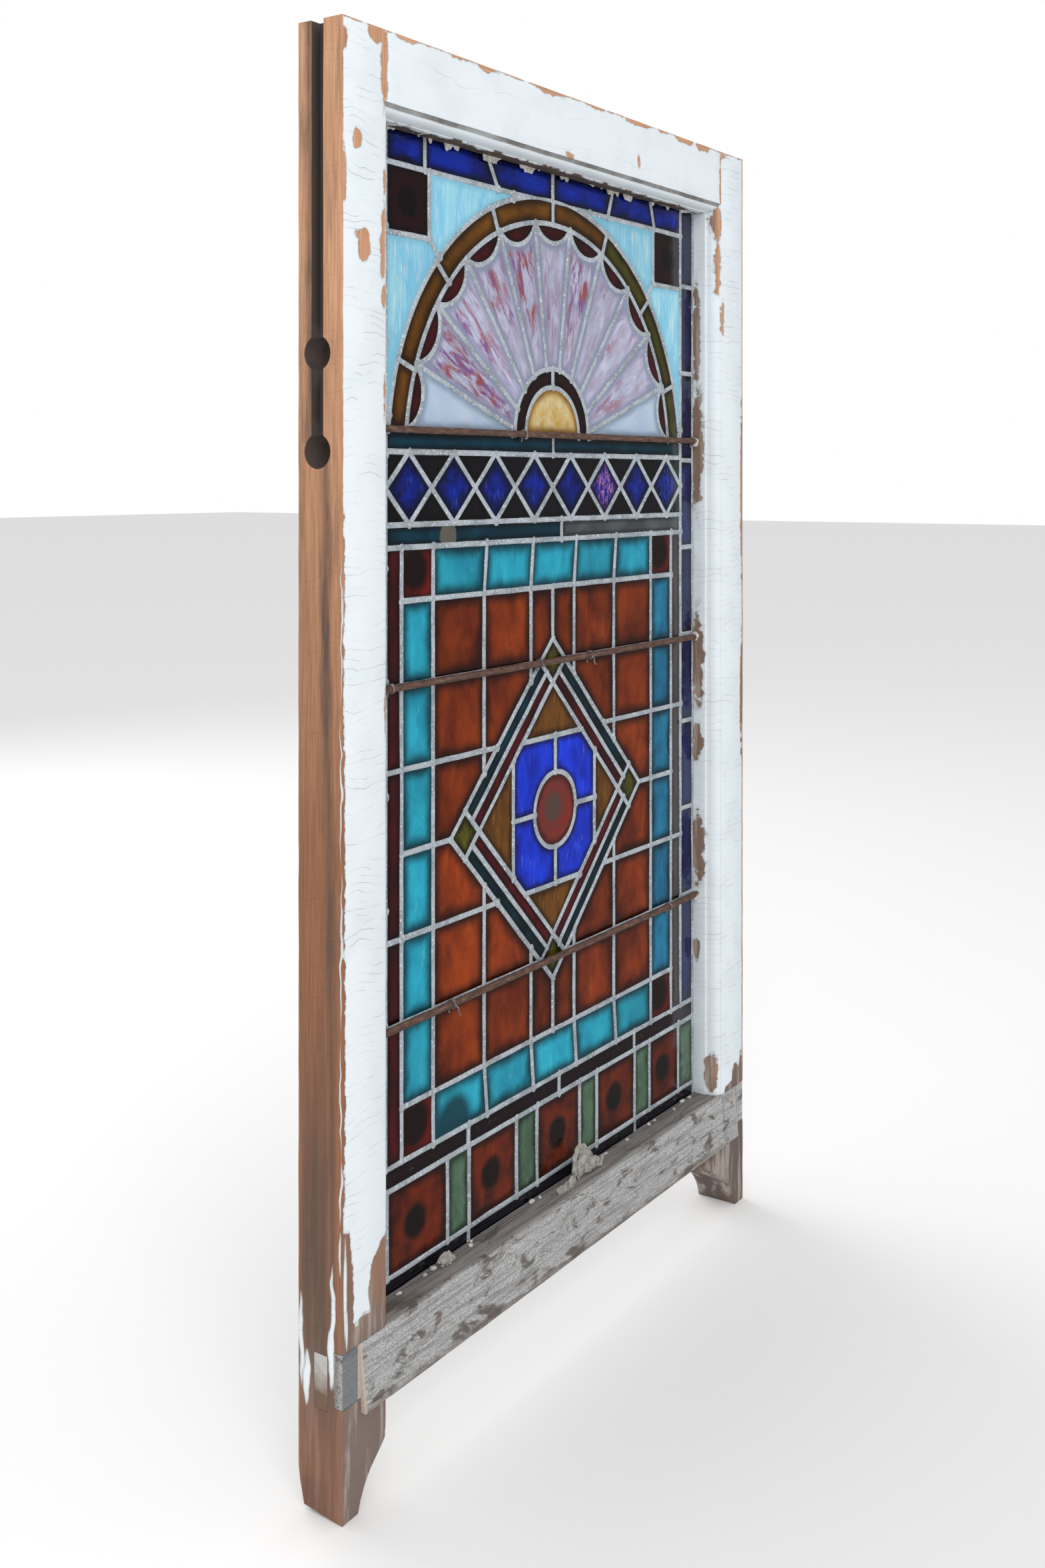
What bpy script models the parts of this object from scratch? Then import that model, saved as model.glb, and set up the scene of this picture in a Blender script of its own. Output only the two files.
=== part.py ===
"""Leaded stained glass in an old pine window sash.

X runs across the window from its middle, Y through it, with the back (outdoor) faces
at 0 and the room side at minus the sash's thickness, and Z up. Heights are counted
from the foot of the horns while a shape is worked out. Every object is then lowered by
MOUNT_HEIGHT, so the origin lies on the back face of the top rail. Depths are counted
from the room side's face and turned to Y by depth().
"""
import math
from functools import partial

import bmesh
import bpy
from mathutils import Vector
from mathutils.geometry import interpolate_bezier

# The sash
SASH_WIDTH = 0.772
SASH_HEIGHT = 1.317
SASH_THICKNESS = 0.051
STILE_FACE = 0.0585
TOP_RAIL_FACE = 0.0645
MEETING_RAIL_HEIGHT = 0.061
HORN_LENGTH = 0.088
HORN_WIDTH = 0.0625
HORN_TIP_WIDTH = 0.021
HORN_STRAIGHT = 0.026
MOULDING_WIDTH = 0.0115
MOULDING_DEPTH = 0.0165
MOULDING_QUIRK = 0.0015
MOULDING_STEPS = 6
REBATE_FROM_FRONT = 0.033
FIT_GAP = 0.0003
MOUNT_HEIGHT = 1.284

# The meeting rail's sloped face, its laps over the stiles and the tenons
RAIL_PROJECTION = 0.0065
PROJECTION_INSET = 0.024
LAP_DEPTH = 0.010
LAP_HEIGHT = 0.0485
TENON_THICKNESS = 0.015
TENON_FROM_FRONT = 0.0175
TENON_HEIGHT = 0.048
TENON_REACH = 0.036

# The sash cord's groove and knot holes in the outer edges
GROOVE_WIDTH = 0.0145
GROOVE_DEPTH = 0.012
GROOVE_FROM_FRONT = 0.0292
KNOT_HOLE_DIAMETER = 0.031
KNOT_HOLE_DEPTH = 0.028
UPPER_HOLE_FROM_TOP = 0.294
HOLE_SPACING = 0.0867

# The saddle bars
BAR_DIAMETER = 0.007
BAR_STANDOFF = 0.001
BAR_SEAT = 0.007
BAR_CLEARANCE = 0.0003

# The leaded panel
PANEL_CLEARANCE = 0.0015
LEAD_WIDTH = 0.0058
LEAD_DEPTH = 0.0052
EDGE_LEAD_SIDE = 0.0125
EDGE_LEAD_END = 0.009
GLASS_THICKNESS = 0.0032
PUTTY_WIDTH = 0.010
PUTTY_DEPTH = 0.011
PUTTY_LIP = 0.003

# The design's bands, counted between the middles of their leads
TOP_BORDER = 0.041
TEAL_STRIP = 0.021
DIAMOND_ROW = 0.0695
LOWER_STRIP = 0.0215
TURQUOISE_ROW = 0.051
MAROON_STRIP = 0.0215
BULLSEYE_ROW = 0.0815
BOTTOM_BORDER = 0.0235
SIDE_BORDER = 0.041
MAROON_COLUMN = 0.024
TURQUOISE_COLUMN = 0.049
SIDE_PIECE = 0.107
SIDE_FIRST_PIECE = 0.102
SIDE_LEAST_PIECE = 0.05
CORNER_SQUARE_WIDTH = 0.067
CORNER_SQUARE_HEIGHT = 0.0655
DIAMONDS = 8
FIELD_COLUMNS = 5
FIELD_ROWS = 6
JOINT_LEAN = 0.005

# The lunette, whose height follows its arch from the arch as drawn
LUNETTE_HEIGHT = 0.251
ARCH_DRAWN_RADIUS = 0.282
ARCH_SIDE_GAP = 0.003
ARCH_OVERRUN = 0.004
ARCH_BAND = 0.027
BAND_JOINT_STEP = math.radians(23.55)
BAND_JOINTS_EACH_SIDE = 3
PETALS = 11
PETAL_ANGLE = math.radians(15.67)
RADIAL_DROP = 0.021
SCALLOP_DEPTH = 0.018
INNER_ARCH_RADIUS = 0.072
SUN_RADIUS = 0.052

# The lozenge and its medallion, which keep their proportions to the lozenge as drawn
LOZENGE_MARGIN = 0.028
LOZENGE_DRAWN_HALF = 0.184
LOZENGE_BAND = 0.034
LOZENGE_OUTER_STRIP = 0.017
BLOCK_HALF_SIZE = 0.080
BLOCK_SHIFT_X = 0.005
BLOCK_SHIFT_Z = -0.002
ROUNDEL_RADIUS = 0.0405

# Joints between the pieces of the long rows, as shares of the row's half width
TOP_JOINTS = ((-0.79, -0.79), (-0.36, -0.445), (0.0, 0.0), (0.40, 0.45), (0.775, 0.73))
LOWER_STRIP_JOINT = 0.06
MAROON_STRIP_JOINTS = (-0.472, 0.037, 0.531)
BULLSEYE_JOINTS = (-0.868, -0.58, -0.469, -0.212, -0.095, 0.166, 0.276, 0.534, 0.641, 0.856)
BOTTOM_BORDER_JOINTS = (-0.472, 0.534)

ARC_STEP = 0.014
CUT_MARGIN = 0.004
WELD = 0.000001
FLAT_ANGLE = math.radians(0.5)

# Worked out from the sizes above
HALF_WIDTH = SASH_WIDTH / 2
SHOULDER = HALF_WIDTH - STILE_FACE
RAIL_FACE_FOOT = SASH_HEIGHT - TOP_RAIL_FACE
MEETING_RAIL_TOP = HORN_LENGTH + MEETING_RAIL_HEIGHT
PANEL_HALF = SHOULDER - PANEL_CLEARANCE
PANEL_TOP = RAIL_FACE_FOOT - PANEL_CLEARANCE
PANEL_FOOT = MEETING_RAIL_TOP - MOULDING_WIDTH + PANEL_CLEARANCE
LEAD_FRONT = REBATE_FROM_FRONT + FIT_GAP
LEAD_MIDDLE = LEAD_FRONT + LEAD_DEPTH / 2
BAR_FROM_FRONT = LEAD_FRONT - BAR_STANDOFF - BAR_DIAMETER / 2
HALF_LEAD = LEAD_WIDTH / 2

BORDER_X = PANEL_HALF - SIDE_BORDER
TURQUOISE_X = BORDER_X - MAROON_COLUMN
FIELD_X = TURQUOISE_X - TURQUOISE_COLUMN
ARCH_RADIUS = BORDER_X - ARCH_SIDE_GAP
ARCH_INNER_RADIUS = ARCH_RADIUS - ARCH_BAND
LUNETTE_TOP = PANEL_TOP - TOP_BORDER
LUNETTE_BASE = LUNETTE_TOP - LUNETTE_HEIGHT + ARCH_DRAWN_RADIUS - ARCH_RADIUS
DIAMOND_TOP = LUNETTE_BASE - TEAL_STRIP
DIAMOND_FOOT = DIAMOND_TOP - DIAMOND_ROW
BLOCK_TOP = DIAMOND_FOOT - LOWER_STRIP
FIELD_TOP = BLOCK_TOP - TURQUOISE_ROW
BOTTOM_ROW_FOOT = PANEL_FOOT + BOTTOM_BORDER
BOTTOM_ROW_TOP = BOTTOM_ROW_FOOT + BULLSEYE_ROW
BLOCK_FOOT = BOTTOM_ROW_TOP + MAROON_STRIP
FIELD_FOOT = BLOCK_FOOT + TURQUOISE_ROW
ROW_HEIGHT = (FIELD_TOP - FIELD_FOOT) / FIELD_ROWS
COLUMN_WIDTH = 2 * FIELD_X / FIELD_COLUMNS
ARCH_CENTRE = (0.0, LUNETTE_TOP + ARCH_OVERRUN - ARCH_RADIUS)
BASE_CENTRE = (0.0, LUNETTE_BASE)
RADIAL_CENTRE = (0.0, LUNETTE_BASE - RADIAL_DROP)
LOZENGE_CENTRE = (0.0, (FIELD_TOP + FIELD_FOOT) / 2)
LOZENGE_HALF = min(FIELD_X, (FIELD_TOP - FIELD_FOOT) / 2) - LOZENGE_MARGIN
LOZENGE_SCALE = LOZENGE_HALF / LOZENGE_DRAWN_HALF
BAR_HEIGHTS = {
    "saddle_bar_top": LUNETTE_BASE,
    "saddle_bar_middle": FIELD_TOP - ROW_HEIGHT,
    "saddle_bar_lower": FIELD_FOOT + ROW_HEIGHT,
}

# Colours from the photograph: linear red, green and blue, roughness and metallic value
FINISHES = {
    "painted_pine": ((0.80, 0.86, 0.90), 0.6, 0.0),
    "weathered_pine": ((0.32, 0.30, 0.28), 0.8, 0.0),
    "lead": ((0.40, 0.43, 0.46), 0.5, 0.7),
    "iron": ((0.18, 0.11, 0.08), 0.7, 0.5),
    "putty": ((0.75, 0.74, 0.70), 0.9, 0.0),
    "lavender_glass": ((0.50, 0.46, 0.62), 0.2, 0.0),
    "yellow_glass": ((0.75, 0.50, 0.16), 0.2, 0.0),
    "maroon_glass": ((0.05, 0.01, 0.015), 0.15, 0.0),
    "sky_glass": ((0.35, 0.66, 0.85), 0.2, 0.0),
    "blue_glass": ((0.02, 0.05, 0.55), 0.15, 0.0),
    "amber_glass": ((0.28, 0.14, 0.03), 0.15, 0.0),
    "red_glass": ((0.25, 0.03, 0.03), 0.15, 0.0),
    "teal_glass": ((0.01, 0.05, 0.07), 0.15, 0.0),
    "olive_glass": ((0.12, 0.13, 0.02), 0.15, 0.0),
    "bullseye_glass": ((0.20, 0.04, 0.02), 0.15, 0.0),
    "turquoise_glass": ((0.04, 0.38, 0.50), 0.15, 0.0),
}


def clear_scene():
    """Removes whatever the scene holds."""
    for obj in list(bpy.data.objects):
        bpy.data.objects.remove(obj, do_unlink=True)


def make_collection(name):
    """Adds an empty collection to the scene."""
    collection = bpy.data.collections.new(name)
    bpy.context.scene.collection.children.link(collection)
    return collection


clear_scene()
WINDOW = make_collection("stained_glass_window")
CUTTERS = make_collection("cutters")


def depth(from_front):
    """Y of a depth counted from the room side's face."""
    return from_front - SASH_THICKNESS


def material(finish):
    """The Principled material of a finish, made once."""
    if finish in bpy.data.materials:
        return bpy.data.materials[finish]
    colour, roughness, metallic = FINISHES[finish]
    made = bpy.data.materials.new(finish)
    made.use_nodes = True
    shader = made.node_tree.nodes["Principled BSDF"]
    shader.inputs["Base Color"].default_value = (*colour, 1.0)
    shader.inputs["Roughness"].default_value = roughness
    shader.inputs["Metallic"].default_value = metallic
    return made


# Geometry of the flat design, in metres across and up

def arc(centre, radius, start, end):
    """Points of an arc from one angle to another, ends included."""
    steps = max(2, math.ceil(abs(end - start) * radius / ARC_STEP))
    angles = [start + (end - start) * i / steps for i in range(steps + 1)]
    return [(centre[0] + radius * math.cos(a), centre[1] + radius * math.sin(a)) for a in angles]


def angle_at(centre, point):
    """Angle of a point seen from a centre."""
    return math.atan2(point[1] - centre[1], point[0] - centre[0])


def ray(origin, angle, shift):
    """A line as origin and unit direction, moved sideways to its left by shift."""
    direction = (math.cos(angle), math.sin(angle))
    moved = (origin[0] - direction[1] * shift, origin[1] + direction[0] * shift)
    return moved, direction


def on_circle(line, centre, radius, far=True):
    """Where a line meets a circle: the far meeting along it, or the near one."""
    (x, z), (dx, dz) = line
    along = (centre[0] - x) * dx + (centre[1] - z) * dz
    miss = (centre[0] - x) * dz - (centre[1] - z) * dx
    half = math.sqrt(radius * radius - miss * miss)
    reach = along + half if far else along - half
    return (x + dx * reach, z + dz * reach)


def meeting(first, second):
    """Where two lines cross."""
    (x1, z1), (dx1, dz1) = first
    (x2, z2), (dx2, dz2) = second
    reach = ((x2 - x1) * dz2 - (z2 - z1) * dx2) / (dx1 * dz2 - dz1 * dx2)
    return (x1 + dx1 * reach, z1 + dz1 * reach)


def clip(points, origin, normal):
    """The part of a convex outline on the side that the normal points to."""
    kept = []
    for here, after in zip(points, points[1:] + points[:1]):
        a = (here[0] - origin[0]) * normal[0] + (here[1] - origin[1]) * normal[1]
        b = (after[0] - origin[0]) * normal[0] + (after[1] - origin[1]) * normal[1]
        if a >= 0:
            kept.append(here)
        if (a > 0 > b) or (a < 0 < b):
            share = a / (a - b)
            kept.append((here[0] + (after[0] - here[0]) * share, here[1] + (after[1] - here[1]) * share))
    return kept


def area(points):
    """Signed area of an outline, positive anticlockwise."""
    pairs = zip(points, points[1:] + points[:1])
    return sum(a[0] * b[1] - b[0] * a[1] for a, b in pairs) / 2


def convex_cell(points, inset):
    """A convex outline with every side moved in by inset."""
    if area(points) < 0:
        points = points[::-1]
    result = list(points)
    for here, after in zip(points, points[1:] + points[:1]):
        dx, dz = after[0] - here[0], after[1] - here[1]
        length = math.hypot(dx, dz)
        if length < WELD:
            continue
        normal = (-dz / length, dx / length)
        origin = (here[0] + normal[0] * inset, here[1] + normal[1] * inset)
        result = clip(result, origin, normal)
    return result


def rectangle(left, foot, right, top):
    """Corners of an upright rectangle, anticlockwise."""
    return [(left, foot), (right, foot), (right, top), (left, top)]


def ring_cell(centre, inner, outer, lower, upper, inset):
    """A piece of a band between two arcs and two lines, given as origin and angle."""
    low = ray(*lower, inset)
    high = ray(*upper, -inset)
    near, far = inner + inset, outer - inset
    corners = [on_circle(low, centre, far), on_circle(high, centre, far),
               on_circle(high, centre, near), on_circle(low, centre, near)]
    turns = [angle_at(centre, corner) for corner in corners]
    return arc(centre, far, turns[0], turns[1]) + arc(centre, near, turns[2], turns[3])


def sun_cell(inset):
    """The half round over the lunette's base."""
    radius = SUN_RADIUS - inset
    start = math.asin(inset / radius)
    return arc(BASE_CENTRE, radius, start, math.pi - start)


def petal_rays(index):
    """The two lines on either side of a petal, counted from the right."""
    middle = PETALS // 2
    low = math.pi / 2 + (index - middle - 0.5) * PETAL_ANGLE
    high = low + PETAL_ANGLE
    lower = (BASE_CENTRE, 0.0) if index == 0 else (RADIAL_CENTRE, low)
    upper = (BASE_CENTRE, math.pi) if index == PETALS - 1 else (RADIAL_CENTRE, high)
    return lower, upper


def scallop_circle(index):
    """Centre and radius of the round edge between a petal and its scallop."""
    lower, upper = petal_rays(index)
    first = on_circle(ray(*lower, 0.0), ARCH_CENTRE, ARCH_INNER_RADIUS)
    second = on_circle(ray(*upper, 0.0), ARCH_CENTRE, ARCH_INNER_RADIUS)
    half = math.dist(first, second) / 2
    radius = (half * half + SCALLOP_DEPTH ** 2) / (2 * SCALLOP_DEPTH)
    middle = Vector(first).lerp(Vector(second), 0.5)
    outward = (middle - Vector(ARCH_CENTRE)).normalized()
    centre = middle + outward * (radius - SCALLOP_DEPTH)
    return tuple(centre), radius


def petal_cell(index, inset):
    """A petal between two radial leads, the inner arch and its scallop."""
    lower, upper = petal_rays(index)
    low, high = ray(*lower, inset), ray(*upper, -inset)
    centre, radius = scallop_circle(index)
    radius += inset
    inner = INNER_ARCH_RADIUS + inset
    start = angle_at(centre, on_circle(low, centre, radius, far=False))
    end = angle_at(centre, on_circle(high, centre, radius, far=False))
    # The round edge bulges towards the sun, so its arc turns clockwise.
    start = start % (2 * math.pi)
    end = end % (2 * math.pi)
    if end > start:
        end -= 2 * math.pi
    first = angle_at(BASE_CENTRE, on_circle(high, BASE_CENTRE, inner))
    last = angle_at(BASE_CENTRE, on_circle(low, BASE_CENTRE, inner))
    # An end petal's two leads meet before they reach the inner arch.
    inner_end = arc(BASE_CENTRE, inner, first, last) if first > last else [meeting(low, high)]
    return arc(centre, radius, start, end) + inner_end


def scallop_cell(index, inset):
    """The red piece between the arch and a petal's round end."""
    centre, radius = scallop_circle(index)
    radius -= inset
    outer = ARCH_INNER_RADIUS - inset
    away = math.dist(centre, ARCH_CENTRE)
    toward = angle_at(ARCH_CENTRE, centre)
    spread = math.acos((outer ** 2 + away ** 2 - radius ** 2) / (2 * outer * away))
    first = arc(ARCH_CENTRE, outer, toward - spread, toward + spread)
    start = angle_at(centre, first[-1]) % (2 * math.pi)
    end = angle_at(centre, first[0]) % (2 * math.pi)
    if end < start:
        end += 2 * math.pi
    return first + arc(centre, radius, start, end)[1:-1]


def spandrel_cut(side, shift):
    """The line from a corner square's foot to the arch, moved up or down by shift."""
    corner = (side * (BORDER_X - CORNER_SQUARE_WIDTH), LUNETTE_TOP - CORNER_SQUARE_HEIGHT)
    return ray(corner, angle_at(corner, ARCH_CENTRE), shift)


def upper_spandrel_cell(side, inset):
    """The sky-blue piece between the top border, a corner square and the arch."""
    edge = side * (BORDER_X - CORNER_SQUARE_WIDTH - inset)
    top = LUNETTE_TOP - inset
    radius = ARCH_RADIUS + inset
    cut = spandrel_cut(side, -side * inset)
    reach = math.sqrt(radius ** 2 - (top - ARCH_CENTRE[1]) ** 2)
    start = angle_at(ARCH_CENTRE, (side * reach, top))
    end = angle_at(ARCH_CENTRE, on_circle(cut, ARCH_CENTRE, radius, far=False))
    foot = meeting(cut, ((edge, top), (0.0, 1.0)))
    return [foot, (edge, top)] + arc(ARCH_CENTRE, radius, start, end)


def side_spandrel_cell(side, inset):
    """The sky-blue piece between the side border, a corner square and the arch."""
    edge = side * (BORDER_X - inset)
    top = LUNETTE_TOP - CORNER_SQUARE_HEIGHT - inset
    radius = ARCH_RADIUS + inset
    cut = spandrel_cut(side, side * inset)
    low = ARCH_CENTRE[1] + math.sqrt(radius ** 2 - edge ** 2)
    start = angle_at(ARCH_CENTRE, on_circle(cut, ARCH_CENTRE, radius, far=False))
    end = angle_at(ARCH_CENTRE, (edge, low))
    corner = meeting(cut, ((edge, top), (1.0, 0.0)))
    return [(edge, top), corner] + arc(ARCH_CENTRE, radius, start, end)


def turned(points, centre):
    """Points of the square field turned by an eighth onto its corner."""
    half = math.sqrt(0.5)
    return [(centre[0] + (p - q) * half, centre[1] + (p + q) * half) for p, q in points]


def lozenge_inner_half():
    """Half the diagonal of the lozenge's inside."""
    return LOZENGE_HALF - LOZENGE_BAND * LOZENGE_SCALE * math.sqrt(2)


def block_sides():
    """Left, right, foot and top of the blue block in the lozenge."""
    x = LOZENGE_CENTRE[0] + BLOCK_SHIFT_X * LOZENGE_SCALE
    z = LOZENGE_CENTRE[1] + BLOCK_SHIFT_Z * LOZENGE_SCALE
    half = BLOCK_HALF_SIZE * LOZENGE_SCALE
    return x - half, x + half, z - half, z + half


def quadrant_cell(side, up, inset):
    """A blue quarter of the block, cut by the lozenge and by the roundel."""
    left, right, foot, top = block_sides()
    centre = ((left + right) / 2, (foot + top) / 2)
    edge = right if side > 0 else left
    end = top if up > 0 else foot
    box = rectangle(*centre, edge, end)
    inner = lozenge_inner_half() - inset * math.sqrt(2)
    origin = (LOZENGE_CENTRE[0] + side * inner, LOZENGE_CENTRE[1])
    corners = convex_cell(box, inset)
    corners = clip(corners, origin, (-side, -up))
    radius = ROUNDEL_RADIUS * LOZENGE_SCALE + inset
    along = math.asin(inset / radius)
    near = (centre[0] + side * inset, centre[1] + up * inset)
    corners = [p for p in corners if math.dist(p, near) > WELD]
    turn = sorted(corners, key=lambda p: math.atan2(up * (p[1] - near[1]), side * (p[0] - near[0])))
    round_edge = arc((0.0, 0.0), radius, math.pi / 2 - along, along)
    return turn + [(centre[0] + side * x, centre[1] + up * z) for x, z in round_edge]


def roundel_cell(inset):
    """The round piece in the middle of the block."""
    left, right, foot, top = block_sides()
    centre = ((left + right) / 2, (foot + top) / 2)
    return arc(centre, ROUNDEL_RADIUS * LOZENGE_SCALE - inset, 0.0, 2 * math.pi)[:-1]


def row_edges(low, high, shares, half):
    """Ends of the pieces in a row from low to high, from shares of its half width."""
    return [low] + [share * half for share in shares] + [high]


def quad(left, right, foot, top):
    """A four-sided outline; left and right are each an X at the foot and at the top."""
    return [(left[0], foot), (right[0], foot), (right[1], top), (left[1], top)]


# The design: each function returns names and outline functions of the inset

def border_cells():
    """The blue top border, the side borders and the bottom border."""
    cells = []
    joints = [(-BORDER_X, -BORDER_X)] + [(a * BORDER_X, b * BORDER_X) for a, b in TOP_JOINTS]
    joints.append((BORDER_X, BORDER_X))
    for left, right in zip(joints, joints[1:]):
        cells.append(("", partial(convex_cell, quad(left, right, LUNETTE_TOP, PANEL_TOP))))
    for side in (-1, 1):
        top, low = PANEL_TOP, PANEL_TOP - SIDE_FIRST_PIECE
        while low > BLOCK_FOOT:
            outline = rectangle(side * BORDER_X, low, side * PANEL_HALF, top)
            cells.append(("", partial(convex_cell, outline)))
            top, low = low, low - SIDE_PIECE
            if low < BLOCK_FOOT + SIDE_LEAST_PIECE:
                low = BLOCK_FOOT
                outline = rectangle(side * BORDER_X, low, side * PANEL_HALF, top)
                cells.append(("", partial(convex_cell, outline)))
    edges = row_edges(-PANEL_HALF, PANEL_HALF, BOTTOM_BORDER_JOINTS, PANEL_HALF)
    for left, right in zip(edges, edges[1:]):
        cells.append(("", partial(convex_cell, rectangle(left, PANEL_FOOT, right, BOTTOM_ROW_FOOT))))
    return cells


def lunette_cells():
    """The arch with its band, scallops, petals and sun, and the corners around it."""
    cells = [("sun_glass", sun_cell)]
    halves = (("inner_arch_right", (BASE_CENTRE, 0.0), (BASE_CENTRE, math.pi / 2)),
              ("inner_arch_left", (BASE_CENTRE, math.pi / 2), (BASE_CENTRE, math.pi)))
    for name, lower, upper in halves:
        outline = partial(ring_cell, BASE_CENTRE, SUN_RADIUS, INNER_ARCH_RADIUS, lower, upper)
        cells.append((name, outline))
    for index in range(PETALS):
        cells.append((f"petal_{index + 1:02d}", partial(petal_cell, index)))
        cells.append(("", partial(scallop_cell, index)))
    count = BAND_JOINTS_EACH_SIDE
    joints = [(ARCH_CENTRE, math.pi / 2 + k * BAND_JOINT_STEP) for k in range(-count, count + 1)]
    joints = [(BASE_CENTRE, 0.0)] + joints + [(BASE_CENTRE, math.pi)]
    for lower, upper in zip(joints, joints[1:]):
        outline = partial(ring_cell, ARCH_CENTRE, ARCH_INNER_RADIUS, ARCH_RADIUS, lower, upper)
        cells.append(("", outline))
    for side, word in ((-1, "left"), (1, "right")):
        cells.append((f"spandrel_upper_{word}", partial(upper_spandrel_cell, side)))
        cells.append((f"spandrel_side_{word}", partial(side_spandrel_cell, side)))
        inner = side * (BORDER_X - CORNER_SQUARE_WIDTH)
        outline = rectangle(side * BORDER_X, LUNETTE_TOP - CORNER_SQUARE_HEIGHT, inner, LUNETTE_TOP)
        cells.append((f"corner_square_{word}", partial(convex_cell, outline)))
    return cells


def diamond_cells():
    """The row of diamonds with the triangles between, and the strips over and under it."""
    cells = []
    middle = (DIAMOND_TOP + DIAMOND_FOOT) / 2
    pitch = 2 * BORDER_X / DIAMONDS
    for index in range(DIAMONDS):
        left = -BORDER_X + index * pitch
        right = left + pitch
        centre = (left + right) / 2
        outline = [(left, middle), (centre, DIAMOND_FOOT), (right, middle), (centre, DIAMOND_TOP)]
        cells.append(("", partial(convex_cell, outline)))
        for level in (DIAMOND_FOOT, DIAMOND_TOP):
            start = max(left - pitch / 2, -BORDER_X)
            cells.append(("", partial(convex_cell, [(start, level), (centre, level), (left, middle)])))
    for level in (DIAMOND_FOOT, DIAMOND_TOP):
        outline = [(BORDER_X - pitch / 2, level), (BORDER_X, level), (BORDER_X, middle)]
        cells.append(("", partial(convex_cell, outline)))
    for joint, foot, top in ((0.0, DIAMOND_TOP, LUNETTE_BASE),
                             (LOWER_STRIP_JOINT * BORDER_X, BLOCK_TOP, DIAMOND_FOOT)):
        for left, right in ((-BORDER_X, joint), (joint, BORDER_X)):
            cells.append(("", partial(convex_cell, rectangle(left, foot, right, top))))
    return cells


def field_row(index):
    """Height of a lead across the field, counted from the top."""
    return FIELD_TOP - index * ROW_HEIGHT


def frame_cells():
    """The turquoise frame of the field, its corners and the maroon columns beside it."""
    cells = []
    edges = [-FIELD_X + index * COLUMN_WIDTH for index in range(FIELD_COLUMNS + 1)]
    for index, (left, right) in enumerate(zip(edges, edges[1:])):
        tops = [x + (JOINT_LEAN if abs(x) < FIELD_X - WELD else 0.0) for x in (left, right)]
        upper = quad((left, tops[0]), (right, tops[1]), FIELD_TOP, BLOCK_TOP)
        lower = quad((tops[0], left), (tops[1], right), BLOCK_FOOT, FIELD_FOOT)
        cells.append((f"turquoise_top_{index + 1}", partial(convex_cell, upper)))
        cells.append(("", partial(convex_cell, lower)))
    for side in (-1, 1):
        for index in range(FIELD_ROWS):
            outline = rectangle(side * FIELD_X, field_row(index + 1), side * TURQUOISE_X, field_row(index))
            cells.append(("", partial(convex_cell, outline)))
        for foot, top in ((FIELD_TOP, BLOCK_TOP), (BLOCK_FOOT, FIELD_FOOT)):
            outline = rectangle(side * FIELD_X, foot, side * TURQUOISE_X, top)
            cells.append(("", partial(convex_cell, outline)))
        levels = [BLOCK_TOP, field_row(1), field_row(2), field_row(4), field_row(5), BLOCK_FOOT]
        for top, foot in zip(levels, levels[1:]):
            outline = rectangle(side * TURQUOISE_X, foot, side * BORDER_X, top)
            cells.append(("", partial(convex_cell, outline)))
    return cells


def field_cells():
    """The rust-red tiles around the lozenge."""
    cells = []
    edges = [-FIELD_X + index * COLUMN_WIDTH for index in range(FIELD_COLUMNS + 1)] + [0.0]
    edges.sort()
    x, z = LOZENGE_CENTRE
    for left, right in zip(edges, edges[1:]):
        side = 1 if left + right > 0 else -1
        for index in range(FIELD_ROWS):
            top, foot = field_row(index), field_row(index + 1)
            up = 1 if (top + foot) / 2 > z else -1
            tile = rectangle(left, foot, right, top)
            tile = clip(tile, (x + side * LOZENGE_HALF, z), (side, up))
            if len(tile) > 2 and len(convex_cell(tile, HALF_LEAD)) > 2:
                cells.append(("", partial(convex_cell, tile)))
    return cells


def lozenge_cells():
    """The lozenge's double band, its corners, and the block, roundel and triangles inside."""
    cells = []
    outer = LOZENGE_HALF * math.sqrt(0.5)
    middle = outer - LOZENGE_OUTER_STRIP * LOZENGE_SCALE
    inner = outer - LOZENGE_BAND * LOZENGE_SCALE
    sides = (("upper_right", 1, 0), ("upper_left", 0, 1), ("lower_left", -1, 0), ("lower_right", 0, -1))
    for name, p, q in sides:
        for strip, low, high in (("teal", middle, outer), ("red", inner, middle)):
            if p:
                box = rectangle(p * low, -inner, p * high, inner)
            else:
                box = rectangle(-inner, q * low, inner, q * high)
            outline = turned(box, LOZENGE_CENTRE)
            cells.append((f"lozenge_{strip}_{name}", partial(convex_cell, outline)))
    for name, p, q in (("top", 1, 1), ("left", -1, 1), ("bottom", -1, -1), ("right", 1, -1)):
        outline = turned(rectangle(p * inner, q * inner, p * outer, q * outer), LOZENGE_CENTRE)
        cells.append((f"lozenge_corner_{name}", partial(convex_cell, outline)))
    left, right, foot, top = block_sides()
    half = lozenge_inner_half()
    x, z = LOZENGE_CENTRE
    for name, edge in (("left", left), ("right", right)):
        spread = half - abs(edge - x)
        tip = x + math.copysign(half, edge - x)
        outline = [(edge, z - spread), (edge, z + spread), (tip, z)]
        cells.append((f"amber_{name}", partial(convex_cell, outline)))
    for name, edge in (("bottom", foot), ("top", top)):
        spread = half - abs(edge - z)
        tip = z + math.copysign(half, edge - z)
        outline = [(x - spread, edge), (x + spread, edge), (x, tip)]
        cells.append((f"amber_{name}", partial(convex_cell, outline)))
    for name, side, up in (("upper_right", 1, 1), ("upper_left", -1, 1),
                           ("lower_left", -1, -1), ("lower_right", 1, -1)):
        cells.append((f"blue_{name}", partial(quadrant_cell, side, up)))
    cells.append(("roundel", roundel_cell))
    return cells


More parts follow.
